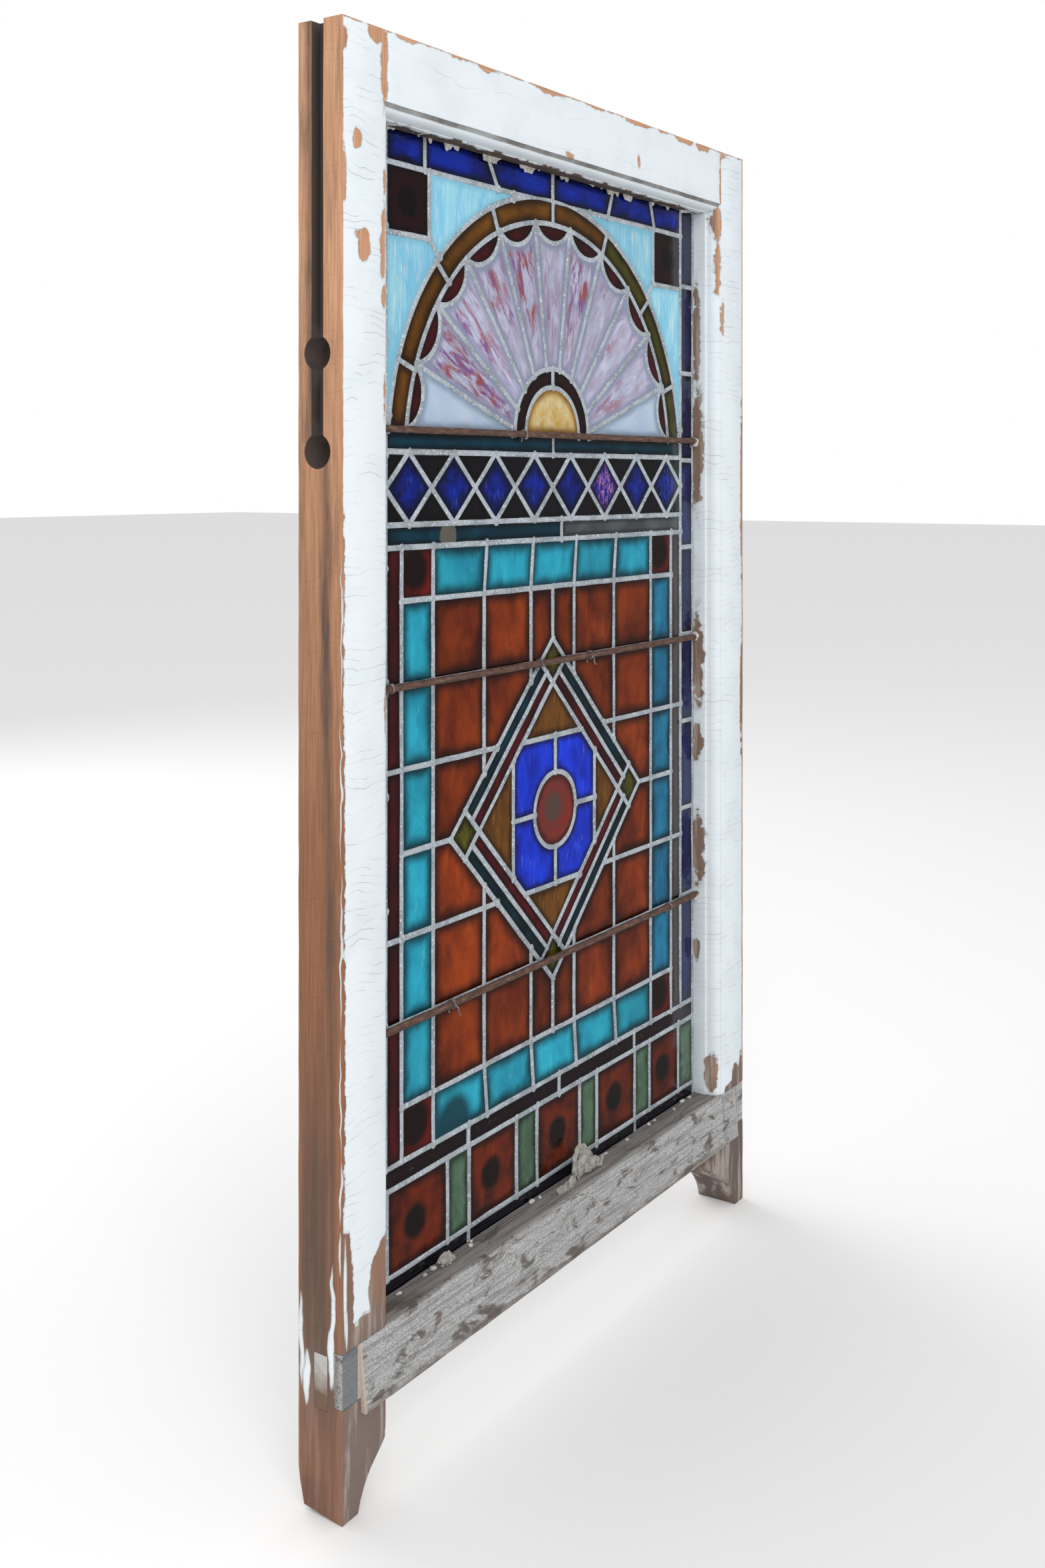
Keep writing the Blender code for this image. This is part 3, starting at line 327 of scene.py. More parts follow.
@dataclass(frozen=True)
class GlassFinish:
    """Hand-made coloured sheet glass: streaky, rippled and darker along its leads."""

    name: str
    slot: str
    body: str
    cloud: str
    streak: str
    rim: str
    cloud_mm: float = 35.0
    cloud_share: float = 0.8
    stretch: float = 1.5
    streak_mm: float = 9.0
    streak_share: float = 0.0
    streak_blur: float = 0.16
    streak_strength: float = 0.9
    grouping: float = 0.5
    second: str = ""
    heart: str = ""
    heart_mm: float = 0.0
    heart_at: Point = (0.0, 0.0)
    heart_blur_mm: float = 7.0
    ripple_mm: float = 11.0
    ripple_stretch: float = 1.6
    ripple_depth_mm: float = 0.16
    roughness: float = 0.12
    see_through: float = 0.25
    tone_spread: float = 0.16
    rim_dark_mm: float = 9.0

    def dress(self) -> bpy.types.Material:
        """Mixes the glass from its sheet colour, clouds, streaks and darker rim.

        Returns:
            The material.
        """
        mix = Recipe(self.name)
        place = mix.add("UVMap", {}, uv_map="pane")
        seed, tone, edge = (mix.add("Attribute", {}, out="Fac", attribute_name=f"pane_{word}")
                            for word in ("seed", "tone", "edge"))
        wide = self.cloud_mm * MM
        clouds = mix.figure(place, (wide, wide * self.stretch, 1.0), 4.0, seed, Roughness=0.6,
                            Distortion=0.4)
        colour = mix.wash(self.body, self.cloud, (clouds, 0.36, 0.64, 0.0, self.cloud_share))
        if self.streak_share:
            colour = self.streaks(mix, place, seed, clouds, colour)
        # The sheet darkens to its rim colour within a few millimetres of its leads.
        uneven = mix.add("Math", {0: clouds, 1: -0.010, 2: edge}, operation="MULTIPLY_ADD")
        clean = mix.add("MapRange", {0: uneven, 1: -0.005, 2: self.rim_dark_mm * MM - 0.005},
                        interpolation_type="SMOOTHSTEP")
        colour = mix.wash(self.rim, colour, clean)
        if self.heart:
            away = mix.add("VectorMath", {0: place, 1: (*self.heart_at, 0.0)}, out="Value",
                           operation="DISTANCE")
            wavy = mix.add("Math", {0: clouds, 1: 0.016, 2: away}, operation="MULTIPLY_ADD")
            reach = self.heart_mm * MM + 0.008
            blur = self.heart_blur_mm * MM / 2
            share = mix.add("MapRange", {0: wavy, 1: reach - blur, 2: reach + blur, 3: 0.97, 4: 0.0},
                            interpolation_type="SMOOTHSTEP")
            colour = mix.wash(colour, self.heart, share)
        level = mix.add("Math", {0: tone, 1: self.tone_spread, 2: 1.0}, operation="MULTIPLY_ADD")
        colour = mix.add("HueSaturation", {"Value": level, "Color": colour})
        fine = self.ripple_mm * MM
        ripple = mix.figure(place, (fine, fine * self.ripple_stretch, 1.0), 2.0, seed)
        bump = mix.add("Bump", {"Strength": 1.0, "Distance": self.ripple_depth_mm * MM, "Height": ripple})
        return mix.surface(Base_Color=colour, Normal=bump, Roughness=self.roughness, IOR=1.52,
                           Specular_IOR_Level=0.35, Transmission_Weight=self.see_through)

    def streaks(self, mix: Recipe, place: Any, seed: Any, clouds: Any, colour: Any) -> Any:
        """Draws the streaks, in groups.

        Args:
            mix: The recipe.
            place: Position on the pane.
            seed: The pane's number.
            clouds: The sheet's clouds, which part the two colours of streak.
            colour: The sheet's colour.

        Returns:
            Socket of the streaked colour.
        """
        later = mix.add("Math", {0: seed, 1: 3.7}, operation="ADD")
        thin = self.streak_mm * MM
        lines = mix.figure(place, (thin, thin * 3 * self.stretch, 1.0), 5.0, later, Roughness=0.65,
                           Distortion=0.9)
        start = 0.66 - 0.2 * self.streak_share
        groups = mix.figure(place, (1 / 14, 1 / 9, 1.0), 2.0, later)
        streak = mix.wash(self.streak, self.second or self.streak, (clouds, 0.44, 0.54))
        return mix.wash(colour, streak, (lines, start, start + self.streak_blur, 0.0, self.streak_strength),
                        (groups, 0.42, 0.54, 1.0 - self.grouping, 1.0))


class Glass(Enum):
    """The kinds of glass in the panel."""

    COBALT = GlassFinish("cobalt_border_glass", "blue_glass", "#0433C4", "#021464", "#0C54FF", "#010624",
                         cloud_mm=30, streak_share=0.25, ripple_mm=14, rim_dark_mm=12)
    NAVY = GlassFinish("navy_border_glass", "blue_glass", "#1C2656", "#10163A", "#2B4088", "#0A0D22",
                       streak_share=0.3)
    VIOLET = GlassFinish("violet_border_glass", "blue_glass", "#23306C", "#171D4C", "#3C4E98", "#0D112A",
                         streak_share=0.4)
    SKY = GlassFinish("sky_spandrel_glass", "sky_glass", "#B2F0FF", "#6ECCF8", "#F0FDFF", "#90D6F0",
                      cloud_mm=30, streak_mm=3.4, streak_share=0.8, streak_blur=0.18, streak_strength=0.9,
                      grouping=0.2, stretch=3.2, ripple_mm=3.4, ripple_stretch=7.0, ripple_depth_mm=1.1,
                      roughness=0.2, tone_spread=0.05)
    PETAL = GlassFinish("petal_glass", "lavender_glass", "#B8C0DE", "#E4E4F6", "#A83C2C", "#9AA2BE",
                        second="#84468E", cloud_mm=24, streak_mm=7.5, streak_share=1.25, streak_blur=0.16,
                        grouping=0.65, stretch=1.4, roughness=0.2, see_through=0.2, tone_spread=0.08)
    PALE_PETAL = GlassFinish("pale_petal_glass", "lavender_glass", "#C2D8F2", "#D8E4F6", "#AFC4E0", "#9AAEC6",
                             cloud_mm=24, streak_share=0.3, roughness=0.2, tone_spread=0.05)
    SUN = GlassFinish("sun_glass_streaky", "yellow_glass", "#DDB65A", "#F3E6BC", "#B8762C", "#9A6E2A",
                      cloud_mm=16, streak_mm=11, streak_share=0.55, stretch=1.0)
    INNER_ARCH = GlassFinish("inner_arch_glass", "maroon_glass", "#38191A", "#271012", "#4A2422", "#150809")
    SCALLOP = GlassFinish("scallop_glass", "red_glass", "#5A0E18", "#3E0911", "#84221E", "#200509",
                          streak_share=0.15)
    OCHRE = GlassFinish("ochre_band_glass", "amber_glass", "#7E4E0C", "#5C3808", "#93650F", "#301C06",
                        streak_share=0.3, rim_dark_mm=11)
    OLIVE_BAND = GlassFinish("olive_band_glass", "olive_glass", "#56520E", "#3C390B", "#77701A", "#1E1C06",
                             streak_share=0.3, rim_dark_mm=11)
    CORNER = GlassFinish("corner_square_glass", "maroon_glass", "#2A0910", "#1D060C", "#380C13", "#120407",
                         heart="#080304", heart_mm=15)
    TEAL = GlassFinish("teal_strip_glass", "teal_glass", "#07485E", "#053446", "#12607A", "#041820",
                       streak_share=0.2)
    MENDED_TEAL = GlassFinish("mended_teal_glass", "teal_glass", "#07485E", "#053446", "#12607A", "#041820",
                              streak_share=0.2, heart="#6E6A60", heart_mm=13, heart_at=(0.0, 0.053),
                              heart_blur_mm=2.0)
    PINK_DIAMOND = GlassFinish("sparkling_diamond_glass", "blue_glass", "#2A2AB0", "#160C58", "#C07CE0",
                               "#0A0830", second="#E8A8D0", cloud_mm=7, streak_mm=4, streak_share=0.9,
                               streak_blur=0.1, grouping=0.3, stretch=0.8, ripple_mm=4.0,
                               ripple_stretch=1.0, ripple_depth_mm=0.8, rim_dark_mm=10)
    STAINED_TURQUOISE = GlassFinish("stained_turquoise_glass", "turquoise_glass", "#2FB8D2", "#1F92B0",
                                    "#6ADAE6", "#0A3F4C", cloud_mm=30, streak_share=0.3, heart="#0E4250",
                                    heart_mm=31, heart_at=(-0.014, -0.020), heart_blur_mm=18.0, rim_dark_mm=14)
    GREY = GlassFinish("grey_strip_glass", "teal_glass", "#666B6E", "#54585B", "#7C8082", "#34373A")
    DIAMOND = GlassFinish("diamond_glass", "blue_glass", "#0A28A6", "#04104A", "#1E58FF", "#030A2E",
                          second="#5A74E0", cloud_mm=12, streak_mm=9, streak_share=0.6, streak_blur=0.2,
                          grouping=0.2, stretch=1.0, ripple_mm=5.0, ripple_stretch=1.0,
                          ripple_depth_mm=0.6, rim_dark_mm=16)
    TRIANGLE = GlassFinish("triangle_glass", "maroon_glass", "#161018", "#0C0A10", "#C0785A", "#080608",
                           cloud_mm=8, streak_mm=2.6, streak_share=0.1, stretch=0.4, ripple_mm=4.0,
                           ripple_stretch=1.0, ripple_depth_mm=0.5)
    MAROON = GlassFinish("maroon_column_glass", "maroon_glass", "#560B17", "#380810", "#701822", "#1A0508")
    BROWN = GlassFinish("brown_column_glass", "maroon_glass", "#574346", "#3E2E30", "#6C585A", "#241A1B")
    BLOCK_CORNER = GlassFinish("block_corner_glass", "maroon_glass", "#7E1A10", "#48100C", "#A8341C",
                               "#3A0B08", heart="#160808", heart_mm=22, heart_at=(-0.006, 0.004),
                               heart_blur_mm=12.0, rim_dark_mm=5)
    TURQUOISE = GlassFinish("turquoise_tile_glass", "turquoise_glass", "#2FB8D2", "#1F92B0", "#6ADAE6",
                            "#0A3F4C", cloud_mm=30, streak_mm=7, streak_share=0.35, tone_spread=0.2,
                            rim_dark_mm=14)
    DEEP_TURQUOISE = GlassFinish("deep_turquoise_glass", "turquoise_glass", "#2787AE", "#1B5E84", "#44AECA",
                                 "#0A3040", cloud_mm=26, streak_mm=7, streak_share=0.35, tone_spread=0.2,
                                 rim_dark_mm=12)
    RUST = GlassFinish("rust_tile_glass", "amber_glass", "#A0400F", "#5C1C0A", "#C4743E", "#2C0D05",
                       second="#7A3C3C", cloud_mm=40, cloud_share=0.95, streak_mm=12, streak_share=0.45,
                       streak_blur=0.3, streak_strength=0.65, stretch=1.6, tone_spread=0.26, rim_dark_mm=14)
    LOZENGE_TEAL = GlassFinish("lozenge_teal_glass", "teal_glass", "#083C4C", "#052A36", "#12566C", "#031218")
    LOZENGE_RED = GlassFinish("lozenge_red_glass", "red_glass", "#7A0C1E", "#560914", "#961C2A", "#240509")
    OLIVE = GlassFinish("lozenge_corner_glass", "olive_glass", "#5C5A12", "#38360A", "#A09A3A", "#1A1906",
                        cloud_mm=12, streak_share=0.3)
    AMBER = GlassFinish("amber_ripple_glass", "amber_glass", "#7E4E18", "#553410", "#AC7C34", "#382208",
                        cloud_mm=14, streak_mm=2.4, streak_share=0.6, stretch=3.5, ripple_mm=3.0,
                        ripple_stretch=7.0, ripple_depth_mm=0.35)
    MEDALLION = GlassFinish("medallion_blue_glass", "blue_glass", "#1C44F4", "#0E22A8", "#5C80FF", "#0A1462",
                            second="#8A8EE0", cloud_mm=22, streak_mm=4.5, streak_share=0.4, stretch=2.0,
                            tone_spread=0.14)
    ROUNDEL = GlassFinish("roundel_glass", "red_glass", "#92352E", "#7C3C36", "#B04034", "#4E1F1C",
                          cloud_mm=30, streak_mm=2.0, streak_share=0.1, stretch=0.5, heart="#624A42",
                          heart_mm=17, heart_at=(-0.005, 0.003))
    BULLSEYE = GlassFinish("bullseye_glass_squares", "bullseye_glass", "#78280C", "#441509", "#B4551E",
                           "#260A06", cloud_mm=30, cloud_share=0.95, streak_mm=14, streak_share=0.4,
                           streak_blur=0.3, stretch=1.0, heart="#0F0807", heart_mm=16.5,
                           heart_at=(-0.004, -0.001), heart_blur_mm=9.0, rim_dark_mm=12)
    SAGE = GlassFinish("sage_upright_glass", "olive_glass", "#5B7860", "#47604C", "#7E9A84", "#27362B",
                       cloud_mm=14, streak_mm=4, streak_share=0.5, ripple_mm=6, ripple_depth_mm=0.25)
    PURPLE = GlassFinish("purple_strip_glass", "maroon_glass", "#2A0F18", "#190A10", "#A48C84", "#0E0609",
                         cloud_mm=10, streak_mm=5, streak_share=0.2, streak_blur=0.04, grouping=1.0,
                         stretch=0.4)
    FOOT = GlassFinish("foot_border_glass", "maroon_glass", "#171A30", "#0E1020", "#26304C", "#08090F")


@dataclass(frozen=True)
class Pane:
    """A piece of glass, outlined between the middles of its leads."""

    kind: Glass
    outline: list[Point]
    node: str = ""
    grain: float = 0.0
    tone: float = 0.0


@dataclass(frozen=True)
class SashSizes:
    """Sizes of the timber sash, in metres."""

    width: float = 0.772
    height: float = 1.317
    thickness: float = 0.051
    stile_face: float = 0.0585
    top_rail_face: float = 0.0645
    horn_length: float = 0.088
    meeting_rail_height: float = 0.061
    moulding_width: float = 0.0115
    mount_height: float = 1.284
    bar_from_front: float = 0.0288
    bar_radius: float = 0.0035
    bar_half_length: float = 0.323

    @property
    def shoulder(self) -> float:
        """X of the stiles' inner face."""
        return self.width / 2 - self.stile_face

    @property
    def rail_face_foot(self) -> float:
        """Height of the top rail's face foot."""
        return self.height - self.top_rail_face

    @property
    def meeting_rail_top(self) -> float:
        """Height of the meeting rail's top."""
        return self.horn_length + self.meeting_rail_height

    def place(self, x: float, from_front: float, height: float) -> Vector:
        """A point of the model from its X, depth and height over the horns' foot."""
        return Vector((x, from_front - self.thickness, height - self.mount_height))


@dataclass
class PanelPlan:
    """The flat design of the leaded panel."""

    sash: SashSizes
    clearance: float = 0.0015
    lead_width: float = 0.0058
    edge_lead_side: float = 0.0125
    edge_lead_end: float = 0.009
    top_border: float = 0.041
    lunette_height: float = 0.251
    teal_strip: float = 0.021
    diamond_row: float = 0.0695
    lower_strip: float = 0.0215
    turquoise_row: float = 0.051
    maroon_strip: float = 0.0215
    bullseye_row: float = 0.0815
    bottom_border: float = 0.0235
    side_border: float = 0.041
    maroon_column: float = 0.024
    turquoise_column: float = 0.049
    side_piece: float = 0.107
    side_first_piece: float = 0.102
    side_least_piece: float = 0.05
    square_width: float = 0.067
    square_height: float = 0.0655
    diamonds: int = 8
    sparkling_diamond: int = 5
    columns: int = 5
    rows: int = 6
    maroon_joint_rows: tuple[int, ...] = (1, 2, 4, 5)
    joint_lean: float = 0.005
    arch_side_gap: float = 0.003
    arch_overrun: float = 0.004
    arch_band: float = 0.027
    band_step: float = math.radians(23.55)
    band_joints_each_side: int = 3
    petals: int = 11
    petal_angle: float = math.radians(15.67)
    radial_drop: float = 0.021
    scallop_depth: float = 0.018
    inner_arch_radius: float = 0.072
    sun_radius: float = 0.052
    corner_reach: float = 0.0088
    lozenge_margin: float = 0.028
    lozenge_band: float = 0.034
    lozenge_strip: float = 0.017
    block_half: float = 0.080
    block_shift: Point = (0.005, -0.002)
    roundel_radius: float = 0.0405
    top_joints: tuple[Point, ...] = ((-0.79, -0.79), (-0.36, -0.445), (0.0, 0.0), (0.40, 0.45), (0.775, 0.73))
    lower_strip_joint: float = 0.06
    maroon_joints: tuple[float, ...] = (-0.472, 0.037, 0.531)
    bullseye_joints: tuple[float, ...] = (-0.868, -0.58, -0.469, -0.212, -0.095, 0.166, 0.276, 0.534,
                                          0.641, 0.856)
    bottom_joints: tuple[float, ...] = (-0.472, 0.534)

    def __post_init__(self) -> None:
        """Works out the design's levels from its sizes."""
        self.half = self.sash.shoulder - self.clearance
        self.top = self.sash.rail_face_foot - self.clearance
        self.foot = self.sash.meeting_rail_top - self.sash.moulding_width + self.clearance
        self.border_x = self.half - self.side_border
        self.turquoise_x = self.border_x - self.maroon_column
        self.field_x = self.turquoise_x - self.turquoise_column
        self.lunette_top = self.top - self.top_border
        self.lunette_base = self.lunette_top - self.lunette_height
        self.diamond_top = self.lunette_base - self.teal_strip
        self.diamond_foot = self.diamond_top - self.diamond_row
        self.block_top = self.diamond_foot - self.lower_strip
        self.field_top = self.block_top - self.turquoise_row
        self.bottom_row_foot = self.foot + self.bottom_border
        self.bottom_row_top = self.bottom_row_foot + self.bullseye_row
        self.block_foot = self.bottom_row_top + self.maroon_strip
        self.field_foot = self.block_foot + self.turquoise_row
        self.plain_side = self.half - self.edge_lead_side + self.lead_width / 2
        self.plain_foot = self.foot + self.edge_lead_end - self.lead_width / 2
        self.plain_top = self.top - self.edge_lead_end + self.lead_width / 2
        self.row_height = (self.field_top - self.field_foot) / self.rows
        self.column_width = 2 * self.field_x / self.columns
        self.arch_radius = self.border_x - self.arch_side_gap
        self.arch_inner = self.arch_radius - self.arch_band
        self.arch_centre = (0.0, self.lunette_top + self.arch_overrun - self.arch_radius)
        self.base_centre = (0.0, self.lunette_base)
        self.radial_centre = (0.0, self.lunette_base - self.radial_drop)
        self.lozenge_centre = (0.0, (self.field_top + self.field_foot) / 2)
        self.lozenge_half = self.field_x - self.lozenge_margin
        self.bar_heights = {
            "saddle_bar_top": self.lunette_base,
            "saddle_bar_middle": self.field_top - self.row_height,
            "saddle_bar_lower": self.field_foot + self.row_height,
        }

    def panes(self) -> list[Pane]:
        """All pieces of glass, kept clear of the wide leads around the panel."""
        made = self.border() + self.lunette() + self.diamond_band() + self.block_frame()
        made += self.field() + self.lozenge() + self.bottom_row()
        return [replace(pane, outline=self.plain_corners(self.inside_edge_lead(pane.outline)))
                for pane in made]

    def plain_corners(self, outline: list[Point]) -> list[Point]:
        """Drops the points of arcs close to a corner, so that an inset there stays clean."""
        outline = [p for p, q in zip(outline, outline[1:] + outline[:1]) if math.dist(p, q) > 0.1 * MM]
        corners = sharp_points(outline)
        return [p for p in outline
                if p in corners or all(math.dist(p, c) > self.corner_reach for c in corners)]

    def inside_edge_lead(self, outline: list[Point]) -> list[Point]:
        """Cuts a border piece back so that its lead's inner edge is the edge lead's."""
        side, foot, top = self.plain_side, self.plain_foot, self.plain_top
        xs, zs = [abs(p[0]) for p in outline], [p[1] for p in outline]
        if max(xs) <= side and min(zs) >= foot and max(zs) <= top:
            return outline
        for origin, normal in (((side, 0.0), (-1, 0)), ((-side, 0.0), (1, 0)),
                               ((0.0, foot), (0, 1)), ((0.0, top), (0, -1))):
            outline = clip(outline, origin, normal)
        return outline

    def strip(self, joints: Sequence[float], foot: float, top: float) -> list[list[Point]]:
        """Outlines of a row of pieces from edge to edge of the panel.

        Args:
            joints: X of the joints, as shares of half the panel's width.
            foot: Height of the row's foot.
            top: Height of its top.

        Returns:
            The outlines from left to right.
        """
        edges = [-self.half] + [share * self.half for share in joints] + [self.half]
        return [rectangle(left, foot, right, top) for left, right in zip(edges, edges[1:])]

    def border(self) -> list[Pane]:
        """The blue borders and the dark one at the foot."""
        joints = [(-self.border_x, -self.border_x)]
        joints += [(a * self.border_x, b * self.border_x) for a, b in self.top_joints]
        joints.append((self.border_x, self.border_x))
        made = []
        for left, right in zip(joints, joints[1:]):
            outline = [(left[0], self.lunette_top), (right[0], self.lunette_top),
                       (right[1], self.top), (left[1], self.top)]
            made.append(Pane(Glass.COBALT, outline, grain=math.pi / 2))
        for side in (-1, 1):
            top, low = self.top, self.top - self.side_first_piece
            while low > self.block_foot:
                kind = Glass.NAVY if low > self.block_top - self.joint_lean * 3 else Glass.VIOLET
                made.append(Pane(kind, rectangle(side * self.border_x, low, side * self.half, top)))
                top, low = low, low - self.side_piece
                if low < self.block_foot + self.side_least_piece:
                    low = self.block_foot
                    outline = rectangle(side * self.border_x, low, side * self.half, top)
                    made.append(Pane(Glass.VIOLET, outline))
        return made + [Pane(Glass.FOOT, outline, grain=math.pi / 2)
                       for outline in self.strip(self.bottom_joints, self.foot, self.bottom_row_foot)]

    def ring(self, centre: Point, inner: float, outer: float, lower: Line, upper: Line) -> list[Point]:
        """Outline of a piece of a band between two circles and two lines.

        Args:
            centre: Middle of both circles.
            inner: Radius of the inner circle.
            outer: Radius of the outer circle.
            lower: Line at its clockwise end.
            upper: Line at its other end.

        Returns:
            The outline.
        """
        corners = [on_circle(lower, centre, outer), on_circle(upper, centre, outer),
                   on_circle(upper, centre, inner), on_circle(lower, centre, inner)]
        turns = [angle_at(centre, corner) for corner in corners]
        return arc(centre, outer, turns[0], turns[1]) + arc(centre, inner, turns[2], turns[3])

    def petal_lines(self, index: int) -> tuple[Line, Line]:
        """The two lines beside a petal, counted from the right."""
        low = math.pi / 2 + (index - self.petals // 2 - 0.5) * self.petal_angle
        lower = ray(self.base_centre, 0.0) if index == 0 else ray(self.radial_centre, low)
        if index == self.petals - 1:
            return lower, ray(self.base_centre, math.pi)
        return lower, ray(self.radial_centre, low + self.petal_angle)

    def scallop_circle(self, lower: Line, upper: Line) -> tuple[Point, float]:
        """Centre and radius of the round edge between a petal and its scallop."""
        first = Vector(on_circle(lower, self.arch_centre, self.arch_inner))
        second = Vector(on_circle(upper, self.arch_centre, self.arch_inner))
        half = (first - second).length / 2
        radius = (half * half + self.scallop_depth ** 2) / (2 * self.scallop_depth)
        middle = first.lerp(second, 0.5)
        outward = (middle - Vector(self.arch_centre)).normalized()
        return tuple(middle + outward * (radius - self.scallop_depth)), radius

    def petal(self, index: int) -> list[Pane]:
        """A ray of the sunburst and the scallop at its end."""
        lower, upper = self.petal_lines(index)
        centre, radius = self.scallop_circle(lower, upper)
        start = angle_at(centre, on_circle(lower, centre, radius, far=False)) % math.tau
        end = angle_at(centre, on_circle(upper, centre, radius, far=False)) % math.tau
        end = end - math.tau if end > start else end
        first = angle_at(self.base_centre, on_circle(upper, self.base_centre, self.inner_arch_radius))
        last = angle_at(self.base_centre, on_circle(lower, self.base_centre, self.inner_arch_radius))
        outline = arc(centre, radius, start, end)
        if index in (0, self.petals - 1):
            tip = self.petal_tip()
            ends = [(tip[0], tip[1]), (tip[0], self.lunette_base)]
            outline += ends if index == 0 else [(-x, z) for x, z in ends[::-1]]
        else:
            outline += arc(self.base_centre, self.inner_arch_radius, first, last)
        away = math.dist(centre, self.arch_centre)
        toward = angle_at(self.arch_centre, centre)
        spread = math.acos((self.arch_inner ** 2 + away ** 2 - radius ** 2) / (2 * self.arch_inner * away))
        cap = arc(self.arch_centre, self.arch_inner, toward - spread, toward + spread)
        start = angle_at(centre, cap[-1]) % math.tau
        end = angle_at(centre, cap[0]) % math.tau
        end = end + math.tau if end < start else end
        scallop = cap + arc(centre, radius, start, end)[1:-1]
        kind = Glass.PALE_PETAL if index in (0, self.petals - 1) else Glass.PETAL
        grain = angle_at(self.radial_centre, centre) - math.pi / 2
        return [Pane(kind, outline, f"petal_{index + 1:02d}", grain), Pane(Glass.SCALLOP, scallop)]

    def arch_reach(self, height: float) -> float:
        """X of the arch's outer circle at a height."""
        return math.sqrt(self.arch_radius ** 2 - (height - self.arch_centre[1]) ** 2)

    def spandrel_foot(self, side: int) -> Point:
        """Where the gap between the arch and the side border is as narrow as a lead."""
        narrow = self.border_x - self.lead_width
        return side * narrow, self.arch_centre[1] + math.sqrt(self.arch_radius ** 2 - narrow ** 2)

    def spandrel_tip(self) -> Point:
        """Where the gap between the arch and the top border is a little wider than a lead."""
        high = self.lunette_top - 1.05 * self.lead_width
        return self.arch_reach(high), high

    def petal_tip(self) -> Point:
        """Where an end petal is a little wider than a lead, on its upper line."""
        slope = math.tan(math.pi / 2 - (self.petals // 2 - 0.5) * self.petal_angle)
        wide = 1.12 * self.lead_width
        return (self.radial_drop + wide) / slope, self.lunette_base + wide

    def solid_corners(self) -> list[list[Point]]:
        """The narrow corners that are filled with lead: around the arch, and at the end petals."""
        made = []
        for side in (-1, 1):
            narrow, low = self.spandrel_foot(side)
            base = side * self.arch_reach(self.lunette_base)
            edge = side * self.border_x
            made.append([(base, self.lunette_base), (edge, self.lunette_base), (edge, low), (narrow, low)])
            wide, high = self.spandrel_tip()
            made.append([(side * self.arch_reach(self.lunette_top), self.lunette_top),
                         (side * wide, self.lunette_top), (side * wide, high)])
            tip = self.petal_tip()
            start = on_circle(self.petal_lines(0)[1], self.base_centre, self.inner_arch_radius)
            made.append([(side * self.inner_arch_radius, self.lunette_base),
                         (side * tip[0], self.lunette_base), (side * tip[0], tip[1]),
                         (side * start[0], start[1])])
        return made

    def spandrel(self, side: int, word: str) -> list[Pane]:
        """The two sky-blue pieces and the corner square beside the arch."""
        inner = side * (self.border_x - self.square_width)
        foot = self.lunette_top - self.square_height
        edge = side * self.border_x
        line = ray((inner, foot), angle_at((inner, foot), self.arch_centre))
        cut = on_circle(line, self.arch_centre, self.arch_radius, far=False)
        reach, high = self.spandrel_tip()
        narrow, low = self.spandrel_foot(side)
        on_arch = [angle_at(self.arch_centre, p) for p in ((side * reach, high), cut, (narrow, low))]
        upper = [(inner, foot), (inner, self.lunette_top), (side * reach, self.lunette_top)]
        upper += arc(self.arch_centre, self.arch_radius, on_arch[0], on_arch[1])[:-1] + [cut]
        beside = [(edge, foot), (inner, foot)]
        beside += arc(self.arch_centre, self.arch_radius, on_arch[1], on_arch[2]) + [(edge, low)]
        square = rectangle(edge, foot, inner, self.lunette_top)
        return [Pane(Glass.SKY, upper, f"spandrel_upper_{word}"),
                Pane(Glass.SKY, beside, f"spandrel_side_{word}"),
                Pane(Glass.CORNER, square, f"corner_square_{word}")]

    def lunette(self) -> list[Pane]:
        """The sun, its arch, petals and scallops, the band and the corners around it."""
        base = self.base_centre
        made = [Pane(Glass.SUN, arc(base, self.sun_radius, 0.0, math.pi), "sun_glass")]
        for word, low in (("right", 0.0), ("left", math.pi / 2)):
            outline = self.ring(base, self.sun_radius, self.inner_arch_radius, ray(base, low),
                                ray(base, low + math.pi / 2))
            made.append(Pane(Glass.INNER_ARCH, outline, f"inner_arch_{word}"))
        for index in range(self.petals):
            made += self.petal(index)
        count = self.band_joints_each_side
        joints = [ray(self.arch_centre, math.pi / 2 + k * self.band_step) for k in range(-count, count + 1)]
        joints = [ray(base, 0.0)] + joints + [ray(base, math.pi)]
        for index, (lower, upper) in enumerate(zip(joints, joints[1:])):
            outline = self.ring(self.arch_centre, self.arch_inner, self.arch_radius, lower, upper)
            kind = Glass.OLIVE_BAND if index < count else Glass.OCHRE
            made.append(Pane(kind, outline, grain=index * self.band_step))
        return made + self.spandrel(-1, "left") + self.spandrel(1, "right")

